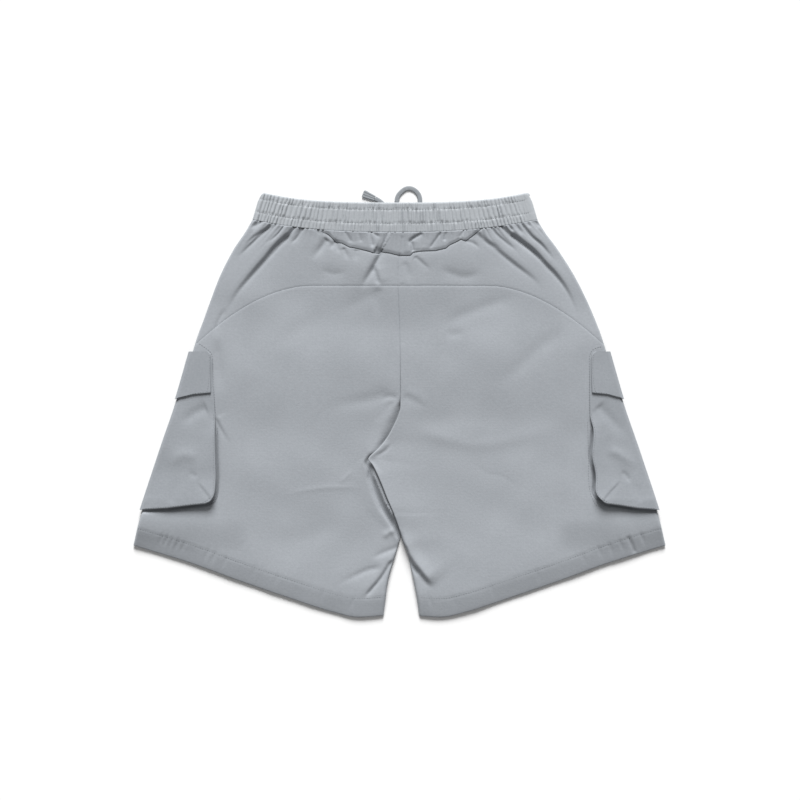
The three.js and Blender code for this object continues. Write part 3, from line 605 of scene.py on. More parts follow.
def leg_lines(side):
    inner = smooth_line(RIGHT_INNER if side > 0 else LEFT_INNER, 8)
    outer_y = np.linspace(ARCH_END_Y, -186, 70)
    outer = np.stack([side_x(side, outer_y), outer_y], 1)
    x = np.linspace(inner[0, 0], outer[0, 0], 60)
    top = np.stack([x, arch_y(x)], 1)
    top[-1] = outer[0]
    x = np.linspace(inner[-1, 0], outer[-1, 0], 80)
    foot = np.stack([x, hem_y(x)], 1)
    foot[0], foot[-1] = inner[-1], outer[-1]
    return top, foot, inner, outer


def front_lines(side):
    centre = smooth_line([p for p in CENTRE_SEAM if p[1] <= 226])
    inner_leg = smooth_line([p for p in (RIGHT_INNER if side > 0 else LEFT_INNER) if p[1] < -165], 8)
    inner = np.vstack([centre, [(1.8, -160)], inner_leg])
    outer_y = np.linspace(243, -186, 110)
    outer = np.stack([side_x(side, outer_y), outer_y], 1)
    x = np.linspace(inner[0, 0], outer[0, 0], 60)
    top = np.stack([x, band_foot_y(x)], 1)
    top[0], top[-1] = inner[0], outer[0]
    x = np.linspace(inner[-1, 0], outer[-1, 0], 80)
    foot = np.stack([x, hem_y(x)], 1)
    foot[0], foot[-1] = inner[-1], outer[-1]
    return top, foot, inner, outer


# Waistband: rows of points from the top edge to the foot, columns that fan out towards its ends
def gathers(run, pitch, seed, low, high):
    """Uneven rolls of gathered cloth with sharp valleys between them, along the band."""
    rng = np.random.default_rng(seed)
    valleys, heights = [-200.0], []
    while valleys[-1] < 200:
        valleys.append(valleys[-1] + pitch * rng.uniform(0.65, 1.45))
        heights.append(rng.uniform(low, high))
    valleys, heights = np.array(valleys), np.array(heights)
    at = np.clip(np.searchsorted(valleys, run) - 1, 0, len(heights) - 1)
    within = (run - valleys[at]) / (valleys[at + 1] - valleys[at])
    return heights[at] * (1 - np.abs(2 * within - 1) ** 1.6)


def band_relief(run, down):
    """The gathers of the band, which change from one channel of its elastic to the next at the stitching."""
    first, second = BAND_STITCH_DOWN
    level = down + 0.012 * np.sin(run / 7.0) + 0.008 * np.sin(run / 2.9 + 1)
    lean = run + 1.6 * np.sin(run / 31.0) * level
    past_first = smoothstep(first - 0.1, first + 0.1, level)
    past_second = smoothstep(second - 0.12, second + 0.12, level)
    ripple = gathers(lean, 4.4, 11, 0.9, 2.3) * (1 - past_first)
    ripple += gathers(lean, 5.0, 23, 0.9, 2.5) * past_first * (1 - past_second)
    ripple += gathers(lean, 4.2, 37, 0.9, 2.3) * past_second
    held = np.exp(-((level - first) / 0.035) ** 2) + np.exp(-((level - second) / 0.035) ** 2)
    total = (1 - 0.24 * held) * ripple - 0.2 * held
    plain = smoothstep(157, 165, run - 6 * down)
    return total * (1 - 0.8 * plain) + 0.35 * plain - 0.2 * smoothstep(0.75, 1, down)


def band_xy(run, down):
    half = BAND_TOP_HALF + (BAND_FOOT_HALF - BAND_TOP_HALF) * down
    x = WAIST_SHIFT + run / 182.0 * half
    top, foot = band_top_y(x), band_foot_y(x)
    corner = 5.0 * np.clip((np.abs(run) - 176) / 6, 0, 1) ** 2 * np.clip(1 - 3 * down, 0, 1)
    return x, top + (foot - top) * down - corner


def band_height(x, y):
    return BAND_BACK_TOP + cord_lift(x, y)


BAND_ROLL = edge("roll", 2.6, 2.3)
BAND_ROWS, BAND_PITCH = 42, 0.78
BAND_MIDDLE = 9.3  # the centre back seam's place along the band


def band_rows():
    return shares_between(39.0, BAND_ROWS, BAND_ROLL, SEAM)


def side_seam_run(down):
    """The place along the band of its seam on the right."""
    return 170.7 - 4.2 * down


def band_back_net(start, end):
    """The back of the band from one place along it to another, or to the side seam. It turns down at the left end."""
    rows = band_rows()
    columns = int((min(end, 168) - start) / BAND_PITCH)
    last = np.where(end > 160, side_seam_run(rows), end)
    run = start + (last[:, None] - start) * np.linspace(0, 1, columns)[None, :]
    down = np.broadcast_to(rows[:, None], run.shape)
    x, y = band_xy(run, down)
    z = band_height(x, y) + band_relief(run, down)
    z = turned_down(BAND_ROLL, down * 39, z, 0)
    z = turned_down(SEAM, (1 - down) * 39, z, 0)
    z = turned_down(FOLD, run + 182.0, z, 2.9)
    for place in (start, last[:, None]):
        z = z - 0.3 * np.exp(-((run - place) / 0.8) ** 2)
    return np.dstack([x, y, z])


def band_front_net():
    """The front of the band under the back, round the right end and up to the side seam there."""
    rows = band_rows()
    under = np.linspace(-182.0, 176.0, 260)
    angles = np.linspace(0, math.pi, 13)[1:-1]
    lap = np.linspace(0, 1, 8)
    flat_run = np.r_[under, 176.0 + 6.0 * np.sin(angles)]
    run = np.array([np.r_[flat_run, 176.0 + (side_seam_run(d) - 176.0) * lap] for d in rows])
    lift = np.broadcast_to(np.r_[0 * under, (1 - np.cos(angles)) / 2, 0 * lap + 1], run.shape)
    down = np.broadcast_to(rows[:, None], run.shape)
    x, y = band_xy(run, down)
    low = cord_lift(x, y) + 0.1 + 0.5 * np.maximum(2.0 - band_relief(run * 0.97 + 3, down), 0)
    low += 1.7 * np.exp(-(down * 39 / 1.6) ** 2)
    low = np.where(run[:, :1] * 0 + np.clip(1 - (run + 182) / 3.4, 0, 1) > 0,
                   np.maximum(low, 0.1 + 2.6 * np.clip(1 - (run + 182) / 3.4, 0, 1) ** 2), low)
    low = low * (1 - lift) + 0.1 * lift
    high = band_height(x, y) + band_relief(run, down)
    high = turned_down(BAND_ROLL, down * 39, high, 0)
    high = turned_down(SEAM, (1 - down) * 39, high, 0)
    high = high - 0.3 * np.exp(-((run - side_seam_run(down)) / 0.8) ** 2)
    return np.dstack([x, y, low + (high - low) * lift])


# Pockets, from the inner edge round the side fold: rows of places (y, left, right) of the inner edge
BAG_EDGE = (
    (59, 245, 250.5), (34, 245.5, 249.5), (8, 243.5, 249.8), (-12, 242.4, 250.2), (-20, 242.2, 251.2),
    (-34, 242.4, 254.6), (-50, 242.2, 254), (-68, 241.8, 252.6), (-88, 241, 256.6), (-100, 241, 257.4),
    (-112, 241.8, 256.6), (-119, 243, 259), (-125, 246, 265),
)
BAG_FOOT = ((0, -125), (0.04, -128.5), (0.1, -130.6), (0.3, -132.6), (0.62, -136.6), (1, -139))
FLAP_EDGE = ((69.5, 252, 258), (66.5, 248.8, 254), (61, 247.9, 252.6), (38, 247.9, 252.2), (15, 247.9, 253))
FLAP_FOOT = ((0, 15), (0.5, 12.6), (1, 7))
BAG_BULGE, FLAP_BULGE = 3.2, 5.4
BAG_FREE = edge("free", 1.3, 2.3)
FLAP_FREE = edge("free", 1.0, 1.7)


def inner_turn(z, line, x, y):
    """Below the legs' parting, the inner edge turns down to meet the front's."""
    away, _ = nearest_on(line, x, y)
    into = np.clip(1 - np.abs(away) / 3.2, 0, 1)
    return z - (1 - smoothstep(-176, -164, y)) * (z - 2.45) * (1 - np.sqrt(1 - into**2))


RECESS_WIDTH = (
    (-185, 4), (-170, 6), (-157, 9.5), (-138, 15), (-116, 16), (-97, 14), (-77, 6), (-70, 2.5), (-58, 4), (-40, 9),
    (-24, 11), (-4, 7), (5, 2),
)


def over_leg(z, x, y):
    """The right leg, whose free inner edge stands up over the left one."""
    line = smooth_line(RIGHT_INNER, 8)
    away, _ = nearest_on(line, x, y)
    rise = 7.4 * smoothstep(-190, -130, y) * (1 - smoothstep(-92, -46, y))
    rise += 1.2 * smoothstep(-80, -40, y) * (1 - smoothstep(-10, 12, y)) + 1.6 * np.exp(-((y + 178) / 12) ** 2)
    z = z + rise * np.exp(-np.abs(away) / 24)
    into = np.clip(1 - np.abs(away) / 1.3, 0, 1)
    lying_over = (1 - smoothstep(-4, 12, y)) * smoothstep(-186, -172, y)
    z = z - lying_over * 1.2 * (1 - np.sqrt(1 - into**2))
    return inner_turn(z, line, x, y)


def under_leg(z, x, y):
    """The left leg, which sinks beside and under the edge of the right one."""
    away, _ = nearest_on(smooth_line(RIGHT_INNER, 8), x, y)
    part = -away / np.interp(y, *np.array(RECESS_WIDTH, float).T)
    lower = smoothstep(-66, -84, y)
    rise = lower * smoothstep(0.76, 1.1, part) + (1 - lower) * (1 - (1 - np.clip(part / 1.2, 0, 1)) ** 2)
    floor = LOWEST_BACK + 6.8 * smoothstep(-168, -140, y) * (1 - smoothstep(-90, -70, y)) * np.where(
        part > 0, np.clip(1 - part / 0.8, 0, 1), np.clip(1 + 1.2 * part, 0, 1))
    sunk = floor + (z + 0.8 - floor) * rise - 0.8 * smoothstep(1.0, 2.6, part)
    lying_under = (1 - smoothstep(-4, 12, y)) * smoothstep(-188, -176, y) * (1 - 0.8 * np.exp(-((y + 62) / 9) ** 2))
    z = z + (sunk - z) * lying_under
    z = z + crease_height(LEFT_INNER_CREASES[3:5], x, y)
    return inner_turn(np.maximum(z, LOWEST_BACK), smooth_line(LEFT_INNER, 8), x, y)


def leg_height(side):
    def height(x, y):
        groove = pocket_groove(side, x, y)
        if side > 0:
            return over_leg(back_height(x, y, RIGHT_INNER_CREASES), x, y) + groove
        return under_leg(back_height(x, y, LEFT_INNER_CREASES[:3]), x, y) + groove
    return height


def bag_puff(x, y, side):
    """How far the bag stands off the leg: most at its lower inner corner, where its bellows strip lifts it."""
    edge_table = np.array(BAG_EDGE)
    inner = np.interp(-y, -edge_table[:, 0], edge_table[:, 1 if side < 0 else 2])
    across = np.clip((np.abs(x) - inner) / 90, 0, 1)
    quick, slow = smoothstep(-8, -44, y), smoothstep(30, -80, y)
    puff = 3.4 * quick * (1 - across) ** 5 + slow * (3.6 * (1 - across) ** 0.8 + 1.6 * np.sin(across * math.pi))
    foot = 2.6 * smoothstep(-85, -125, y) * np.sqrt(np.clip(1 - across, 0, 1))
    return 0.9 + puff + foot


def pocket_groove(side, x, y):
    """The dip in the leg beside and under a bag's free edges, where its bellows strip is sewn on."""
    column = 1 if side < 0 else 2
    inner = BAG_EDGE[-1][column]
    path = [(row[column], row[0]) for row in BAG_EDGE if row[0] < 0]
    path += [(inner + (abs(float(side_x(side, -139))) - inner) * share, y) for share, y in BAG_FOOT[1:]]
    line = smooth_line(path, 4) * (side, 1)
    away, share = nearest_on(line, x, y)
    return -3.4 * np.exp(-(away / 3.2) ** 2) * smoothstep(0, 0.2, share)


BAG_CREASES = (
    crease(((-245, -126), (-255, -114), (-267, -99)), 0.8, 1.3, 4, 0, 0, 0.4, lap=-1.3),
    crease(((-266, -97), (-273, -93), (-278, -92)), 0.8, 3.5, 8, 0, 0.2, 0.4, lap=0.6),
    crease(((-252, -20), (-262, -50), (-268, -88)), 0.6, 8, 16, 0, 0.2, 0.4),
    crease(((-300, -130), (-296, -110), (-284, -96)), 0.6, 5, 10, 0, 0.1, 0.6),
    crease(((-252, -4), (-270, -12), (-292, -30)), 1.5, 6, 13, 0, 0.1, 0.5),
    crease(((-262, -74), (-284, -66), (-306, -84)), -1.3, 7, 13, 0, 0.3, 0.5),
    crease(((269, -123), (279, -112), (292, -99)), 0.8, 1.3, 4, 0, 0, 0.4, lap=1.3),
    crease(((290, -88), (298, -92), (304, -102)), 1.2, 3.0, 7, 0, 0.3, 0.3, lap=0.8),
    crease(((262, -24), (272, -56), (282, -90)), 0.7, 8, 16, 0, 0.2, 0.4),
    crease(((318, -128), (312, -110), (300, -98)), 0.5, 5, 10, 0, 0.1, 0.6),
    crease(((260, 0), (280, -22), (302, -46)), 1.5, 6, 13, 0, 0.1, 0.5),
    crease(((268, -60), (290, -66), (314, -86)), -1.5, 6, 12, 0, 0.3, 0.5),
)


def bag_height(side):
    def height(x, y):
        return back_height(x, y) + bag_puff(x, y, side) + crease_height(BAG_CREASES, x, y)
    return height


def flap_height(side):
    def height(x, y):
        return back_height(x, y) + 1.7 + (68 - y) / 30 + unevenness(x, y, 60 + side, 0.3)
    return height


def wrap_net(side, table, foot, bulge, height, counts, free, under_height):
    """A pocket piece as rows of points: its half under the leg, the fold at the side, and its half on the back."""
    rows, under_count, top_count = counts
    table = np.array(table, float)
    line = smooth_line(np.stack([table[:, 1 if side < 0 else 2], table[:, 0]], 1), 5)
    line = spread_along(line, shares_between(length_of(line), rows, PLAIN, free))
    down = np.linspace(0, 1, rows) ** 3
    foot_line = np.array(foot)
    net = []
    for (inner, y), share in zip(line, down):
        drop_end = (foot_line[-1, 1] - foot_line[0, 1]) * share
        outer = float(abs(side_x(side, y + drop_end))) + bulge
        reach = 5.0
        angles = np.linspace(0, math.pi, 15)[1:-1]
        under = np.linspace(inner, outer - reach, under_count)
        top = outer - reach - edge_shares(outer - reach - inner, top_count, free)
        across = np.r_[under, outer - reach + reach * np.sin(angles), top]
        lift = np.r_[0 * under, (1 - np.cos(angles)) / 2, 0 * top + 1]
        part = np.clip((across - inner) / (outer - inner), 0, 1)
        drop = (np.interp(part, foot_line[:, 0], foot_line[:, 1]) - foot_line[0, 1]) * share
        net.append(np.stack([across * side, y + drop, lift], 1))
    net = np.array(net)
    x, y, lift = net[..., 0], net[..., 1], net[..., 2]
    high = height(x, y)
    z = high * lift + under_height * smoothstep(-8, 4, y) * (1 - lift)
    edge_away = np.abs(x) - line[:, 0][:, None]
    on_top = lift > 0.999
    z = np.where(on_top, turned_down(free, edge_away, z, 0), z)
    foot_away = (y - y[-1:, :])
    z = np.where(on_top, turned_down(free, foot_away, z, 0), z)
    return np.dstack([x, y, z + 0.05])


def edge_shares(length, count, free):
    """Distances from the fold to the free edge, fine near that edge."""
    end = edge_distances(free, EDGE_STEPS)
    middle = np.linspace(0, length - end[-1], count - EDGE_STEPS)
    return np.r_[middle, length - end[:-1][::-1]]


def gusset_net(side):
    """The bellows strip from the leg up to the bag, under its inner edge, round its corner and along its foot."""
    column = 1 if side < 0 else 2
    path = [(row[column], row[0]) for row in BAG_EDGE if row[0] <= -34]
    inner = BAG_EDGE[-1][column]
    fold = abs(float(side_x(side, -139)))
    path += [(inner + (fold - inner) * share, y) for share, y in BAG_FOOT[2:5]]
    line = spread_along(smooth_line(path, 8), np.linspace(0, 0.97, 120))
    run = np.gradient(line, axis=0)
    run /= np.linalg.norm(run, axis=1)[:, None]
    inwards = np.stack([-run[:, 1], run[:, 0]], 1)
    net = []
    for away, rise in ((-3.6, -0.3), (-2.4, -1.1), (-1.2, -2.2), (0, -2.5), (2, -1.2), (5, 0.5), (9, 0.35)):
        at = line + inwards * away
        x, y = at[:, 0] * side, at[:, 1]
        net.append(np.stack([x, y, back_height(x, y) + rise], 1))
    return np.array(net).transpose(1, 0, 2)


# Lines of stitching, in plan
def hem_stitch_line(side):
    inner = 24.5 if side > 0 else -21.0
    x = np.linspace(inner, side * 345.0, 120)
    return np.stack([x, hem_y(x) + HEM_DEPTH], 1)


def pocket_stitch_line(side, table, foot, inset, start_y, end_share):
    """Along a pocket piece's free inner edge, round its corner and along its foot."""
    column = 1 if side < 0 else 2
    path = [(row[column] + inset, row[0]) for row in table if foot[0][1] + 3 < row[0] <= start_y]
    inner = table[-1][column]
    fold = abs(float(side_x(side, foot[-1][1])))
    shares = np.linspace(0.12, end_share, 7)
    levels = np.interp(shares, *np.array(foot, float).T) + inset
    path += [(inner + (fold - inner) * share, level) for share, level in zip(shares, levels)]
    line = smooth_line(path, 8)
    line[:, 0] *= side
    return line


BAG_OUTLINE = {
    -1: ((-264, 80), (-253.6, 73), (-247.1, 66.4), (-245.5, 57.2), (-244.9, 36), (-242.7, -1), (-242.2, -12)),
    1: ((266, 76), (256, 73), (251.5, 68), (249.8, 56), (249.5, 20), (249.5, -13)),
}
STRIP_SEAM = {
    -1: ((-239.5, -30), (-239, -60), (-238.6, -110), (-241, -126), (-250, -133), (-272, -136.4), (-300, -141.6)),
    1: ((247.5, -22), (248.5, -60), (249.5, -108), (256.7, -130.3), (263, -133.6), (282, -134), (300, -137)),
}


def band_stitch_line(down, start, end):
    """A row of the elastic's stitching as a line with height."""
    run = np.linspace(start, end, 500)
    share = np.full(run.shape, down)
    x, y = band_xy(run, share)
    return np.column_stack([x, y, band_height(x, y) + band_relief(run, share) + 0.3])


# Cords
def cord_net(route, width, thick, around=14):
    """A flat braid round its route as rows of points, wound once round its section, which stays flat on the table."""
    line = spread_along(smooth_line(route, 12), np.linspace(0, 1, int(length_of(np.array(route, float)) / 0.9)))
    run = np.gradient(line, axis=0)
    run /= np.linalg.norm(run, axis=1)[:, None]
    across = np.stack([-run[:, 1], run[:, 0], 0 * run[:, 0]], 1)
    across /= np.linalg.norm(across, axis=1)[:, None]
    angles = np.linspace(0, 2 * math.pi, around + 1)
    along = np.arange(len(line))[:, None] * 0.9
    side_way = np.sign(np.cos(angles)) * np.abs(np.cos(angles)) ** 0.7
    braid = 1 + 0.10 * np.sin(2 * math.pi * (along / 2.4 + np.abs(np.cos(angles))[None, :] * 0.9))
    up = np.sign(np.sin(angles)) * np.abs(np.sin(angles)) ** 0.8 * braid
    net = line[:, None, :] + across[:, None, :] * side_way[None, :, None] * width / 2
    net[..., 2] += up * thick / 2 * 0.92
    return net, line


def tube_mesh(name, net):
    """A closed tube over a net whose first and last columns meet, with capped ends."""
    rows, columns = net.shape[:2]
    mesh = mesh_from_points(name, net, True, (0.5, 0.25))
    bm = bmesh.new()
    bm.from_mesh(mesh)
    bmesh.ops.remove_doubles(bm, verts=bm.verts, dist=1e-7)
    bmesh.ops.holes_fill(bm, edges=[e for e in bm.edges if e.is_boundary])
    bmesh.ops.recalc_face_normals(bm, faces=bm.faces)
    bm.to_mesh(mesh)
    bm.free()
    mesh.shade_smooth()
    return mesh


def tip_net(route):
    """The flat ribbed tab at a cord's end, wider away from the cord."""
    end, before = np.array(route[-1][:2], float), np.array(route[-2][:2], float)
    along = (end - before) / np.linalg.norm(end - before)
    if route is LEFT_CORD:
        along = np.array([math.cos(math.radians(TIP_TURN)), math.sin(math.radians(TIP_TURN))])
    across = np.array([-along[1], along[0]])
    t, s = np.meshgrid(np.linspace(0, 1, 36), np.linspace(-1, 1, 25), indexing="ij")
    half = (TIP_NARROW + (TIP_WIDE - TIP_NARROW) * t) / 2
    rounding = np.sqrt(np.clip(1 - (np.abs(s) ** 6) * (np.clip((t - 0.86) / 0.14, 0, 1)) ** 2, 0.25, 1))
    place = end + along * 0.3 + along * (TIP_LENGTH * t * (0.985 + 0.015 * rounding))[..., None]
    place = place + across * (half * s * (0.5 + 0.5 * rounding))[..., None]
    edge_away = np.minimum(np.minimum(1 - np.abs(s), 2.2 * (1 - t)), 2.2 * t + 0.1)
    z = TIP_THICK - 0.5 * np.exp(-edge_away / 0.09) + 0.16 * np.cos(s * 9.4) * (edge_away > 0.08)
    return np.dstack([place[..., 0], place[..., 1], z])


# Materials
def linear(hex_colour, alpha=1.0):
    """An sRGB hex colour as the linear colour that a shader takes."""
    parts = [int(hex_colour[i:i + 2], 16) / 255 for i in (1, 3, 5)]
    return (*[p / 12.92 if p <= 0.04045 else ((p + 0.055) / 1.055) ** 2.4 for p in parts], alpha)


def add_node(tree, kind, settings=(), inputs=(), links=()):
    """A shader node with its settings, its fixed inputs and links (its input, the other node, that one's output)."""
    node = tree.nodes.new(kind)
    for name, value in settings:
        setattr(node, name, value)
    for name, value in inputs:
        node.inputs[name].default_value = value
    for name, other, output in links:
        tree.links.new(other.outputs[output], node.inputs[name])
    return node


def new_material(name):
    material = bpy.data.materials.new(name)
    material.use_nodes = True
    material.node_tree.nodes.clear()
    return material


def woven_cloth(name, light, dark, thread, roughness, bump):
    """A plain weave. Its threads are drawn at a pitch in millimetres, over a faint cloudiness of the dye."""
    material = new_material(name)
    tree = material.node_tree
    place = add_node(tree, "ShaderNodeTexCoord")
    cloud = add_node(tree, "ShaderNodeTexNoise", inputs=(("Scale", 1000 / 60), ("Detail", 3.0), ("Roughness", 0.5)),
                     links=(("Vector", place, "Object"),))
    grain = add_node(tree, "ShaderNodeTexNoise", inputs=(("Scale", 1000 / 3.0), ("Detail", 3.0), ("Roughness", 0.75)),
                     links=(("Vector", place, "Object"),))
    warp = add_node(tree, "ShaderNodeTexWave", (("wave_type", "BANDS"), ("bands_direction", "X")),
                    (("Scale", 1000 / thread / 6.283), ("Distortion", 0.6), ("Detail", 1.0), ("Detail Scale", 2.0)),
                    (("Vector", place, "Object"),))
    weft = add_node(tree, "ShaderNodeTexWave", (("wave_type", "BANDS"), ("bands_direction", "Y")),
                    (("Scale", 1000 / thread / 6.283), ("Distortion", 0.6), ("Detail", 1.0), ("Detail Scale", 2.0)),
                    (("Vector", place, "Object"),))
    weave = add_node(tree, "ShaderNodeMath", (("operation", "MULTIPLY"),), (),
                     ((0, warp, "Fac"), (1, weft, "Fac")))
    tone = add_node(tree, "ShaderNodeMath", (("operation", "MULTIPLY_ADD"),), ((1, 0.45),),
                    ((0, cloud, "Fac"), (2, grain, "Fac")))
    mix = add_node(tree, "ShaderNodeMapRange", (), (("From Min", 0.4), ("From Max", 1.0)), (("Value", tone, 0),))
    colour = add_node(tree, "ShaderNodeMix", (("data_type", "RGBA"),),
                      ((6, linear(dark)), (7, linear(light))), ((0, mix, 0),))
    relief = add_node(tree, "ShaderNodeMath", (("operation", "MULTIPLY_ADD"),), ((1, 0.12),),
                      ((0, weave, 0), (2, grain, "Fac")))
    bumped = add_node(tree, "ShaderNodeBump", (), (("Strength", bump), ("Distance", 0.0006)),
                      (("Height", relief, 0),))
    shader = add_node(tree, "ShaderNodeBsdfPrincipled", (),
                      (("Roughness", roughness), ("Specular IOR Level", 0.25), ("Sheen Weight", 0.12),
                       ("Sheen Roughness", 0.45)),
                      (("Base Color", colour, 2), ("Normal", bumped, 0)))
    add_node(tree, "ShaderNodeOutputMaterial", links=(("Surface", shader, 0),))
    return material


def thread_material(name, colour, roughness):
    """Spun sewing thread: its twist is a fine grain that only takes the gloss off it."""
    material = new_material(name)
    tree = material.node_tree
    place = add_node(tree, "ShaderNodeTexCoord")
    twist = add_node(tree, "ShaderNodeTexNoise", inputs=(("Scale", 1000 / 0.8),), links=(("Vector", place, "Object"),))
    tone = add_node(tree, "ShaderNodeMix", (("data_type", "RGBA"),),
                    ((6, linear(colour)), (7, linear("#7b7f83"))), ((0, twist, "Fac"),))
    shader = add_node(tree, "ShaderNodeBsdfPrincipled", (), (("Roughness", roughness), ("Sheen Weight", 0.1)),
                      (("Base Color", tone, 2),))
    add_node(tree, "ShaderNodeOutputMaterial", links=(("Surface", shader, 0),))
    return material


def table_material():
    """A matt white studio table."""
    material = new_material("matt white table")
    tree = material.node_tree
    shader = add_node(tree, "ShaderNodeBsdfPrincipled", (), (("Base Color", (0.8, 0.8, 0.8, 1)), ("Roughness", 0.9),
                                                             ("Specular IOR Level", 0.1)))
    add_node(tree, "ShaderNodeOutputMaterial", links=(("Surface", shader, 0),))
    return material


class ShortsSizes(bpy.types.PropertyGroup):
    cloth_thickness: bpy.props.FloatProperty(
        name="Cloth thickness", description="Thickness of one layer of the body cloth", default=0.6 * MM,
        min=0.2 * MM, max=1.2 * MM, unit="LENGTH")
    thread_pitch: bpy.props.FloatProperty(
        name="Weave pitch", description="Distance between the threads of the weave as drawn, coarser than real",
        default=1.1 * MM, unit="LENGTH")
    stitch_pitch: bpy.props.FloatProperty(
        name="Stitch pitch", description="Length of one stitch of the topstitching", default=3.3 * MM, unit="LENGTH")
    camera_height: bpy.props.FloatProperty(
        name="Camera height", description="Height of the camera over the table", default=2.494, unit="LENGTH")


def colour_property(name, description, hex_colour):
    return bpy.props.FloatVectorProperty(name=name, description=description, subtype="COLOR", size=4,
                                         default=linear(hex_colour), min=0, max=1)


class ShortsLooks(bpy.types.PropertyGroup):
    body_light: bpy.props.StringProperty(name="Body cloth", description="Dyed body cloth, light threads",
                                         default="#979ba0")
    body_dark: bpy.props.StringProperty(name="Body cloth, dark", description="Dyed body cloth, dark threads",
                                        default="#8c9095")
    # The pocket cloth is the body cloth drawn darker. This is painted shade for where the pockets' cloth curves down
    # towards the sides.
    pocket_shaded_light: bpy.props.StringProperty(name="Pocket cloth", description="Pocket cloth, light threads",
                                           default="#8e9297")
    pocket_shaded_dark: bpy.props.StringProperty(name="Pocket cloth, dark", description="Pocket cloth, dark threads",
                                          default="#83878c")
    band_light: bpy.props.StringProperty(name="Waistband", description="Waistband cloth, light threads",
                                         default="#a3a7ab")
    band_dark: bpy.props.StringProperty(name="Waistband, dark", description="Waistband cloth, dark threads",
                                        default="#999da1")
    thread: bpy.props.StringProperty(name="Thread", description="Sewing thread", default="#63676b")
    cord: bpy.props.StringProperty(name="Drawcord", description="Braided drawcord", default="#8d9195")
    key_power: bpy.props.FloatProperty(name="Key light", description="Strength of the large soft light past the waist",
                                       default=6.1)
    fill: bpy.props.FloatProperty(name="Fill", description="Strength of the even light all round", default=0.33)


def sizes():
    return bpy.context.scene.shorts_sizes


def looks():
    return bpy.context.scene.shorts_looks


def material(name):
    """A finish, made the first time it is asked for."""
    if name in bpy.data.materials:
        return bpy.data.materials[name]
    weave = sizes().thread_pitch / MM
    if name == "body cloth, woven nylon and cotton":
        return woven_cloth(name, looks().body_light, looks().body_dark, weave, 0.82, 0.35)
    # The pockets take the body's weave in darker colours, as painted shade.
    if name == "pocket cloth, woven nylon and cotton":
        return woven_cloth(name, looks().pocket_shaded_light, looks().pocket_shaded_dark, weave, 0.82, 0.35)
    if name == "waistband cloth over elastic":
        return woven_cloth(name, looks().band_light, looks().band_dark, weave, 0.8, 0.3)
    if name == "drawcord, flat cotton braid":
        return woven_cloth(name, looks().cord, "#7d8185", weave * 0.8, 0.85, 0.6)
    return thread_material(name, looks().thread, 0.7)


KEY_FROM = (0.0, 1.0, 0.56)  # the way from the shorts to the large soft light
KEY_SPREAD = 28  # degrees that it covers
BODY = "body cloth, woven nylon and cotton"
# The pockets' material is the body cloth darkened as painted shade.
SHADED_POCKET = "pocket cloth, woven nylon and cotton"
BAND = "waistband cloth over elastic"
BRAID = "drawcord, flat cotton braid"
THREAD = "spun polyester sewing thread"
SIDES = ((-1, "left"), (1, "right"))


class BuildOperator:
    bl_options = {"REGISTER", "UNDO"}


class SHORTS_OT_stage(BuildOperator, bpy.types.Operator):
    """Makes the camera straight above, the table and the soft studio light"""
    bl_idname = "shorts.stage"
    bl_label = "Stage"

    def execute(self, context):
        scene = context.scene
        camera = bpy.data.objects.new("camera", bpy.data.cameras.new("camera"))
        scene.collection.objects.link(camera)
        camera.data.lens = 85
        camera.data.sensor_width = 36
        camera.location = (0.0007, 0.0057, sizes().camera_height)
        camera.data.clip_end = 20
        scene.camera = camera

        bm = bmesh.new()
        bmesh.ops.create_grid(bm, x_segments=1, y_segments=1, size=14)
        table = bpy.data.meshes.new("table")
        bm.to_mesh(table)
        bm.free()
        floor = linked("table_top", table)
        floor.location.z = -0.0001
        table.materials.append(table_material())

        key = bpy.data.objects.new("key light", bpy.data.lights.new("key light", "SUN"))
        scene.collection.objects.link(key)
        key.data.energy = looks().key_power
        key.data.angle = math.radians(KEY_SPREAD)
        towards = Vector(KEY_FROM)
        key.rotation_euler = towards.to_track_quat("Z", "Y").to_euler()

        world = bpy.data.worlds.new("studio")
        scene.world = world
        world.use_nodes = True
        world.node_tree.nodes["Background"].inputs["Color"].default_value = (1, 1, 1, 1)
        world.node_tree.nodes["Background"].inputs["Strength"].default_value = looks().fill
        scene.view_settings.view_transform = "Standard"
        return {"FINISHED"}


class SHORTS_OT_drawcord(BuildOperator, bpy.types.Operator):
    """Makes the drawcord's two free ends and the tab on each"""
    bl_idname = "shorts.drawcord"
    bl_label = "Drawcord"

    def execute(self, context):
        for (side, key), route in zip(SIDES, (LEFT_CORD, RIGHT_CORD)):
            tip = thicken(linked(f"cord_tip_{key}_braid", mesh_from_points("tip", tip_net(route))), 1.3)
            tip.data.materials.append(material(BRAID))
            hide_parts(f"cord_tip_{key}")
            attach(tip, "root")
            net, line = cord_net(route, CORD_WIDTH, CORD_THICK)
            cord = linked(f"drawcord_{key}_braid", tube_mesh("drawcord", net))
            cord.data.materials.append(material(BRAID))
            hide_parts(f"drawcord_{key}")
            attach(cord, "root")
        return {"FINISHED"}


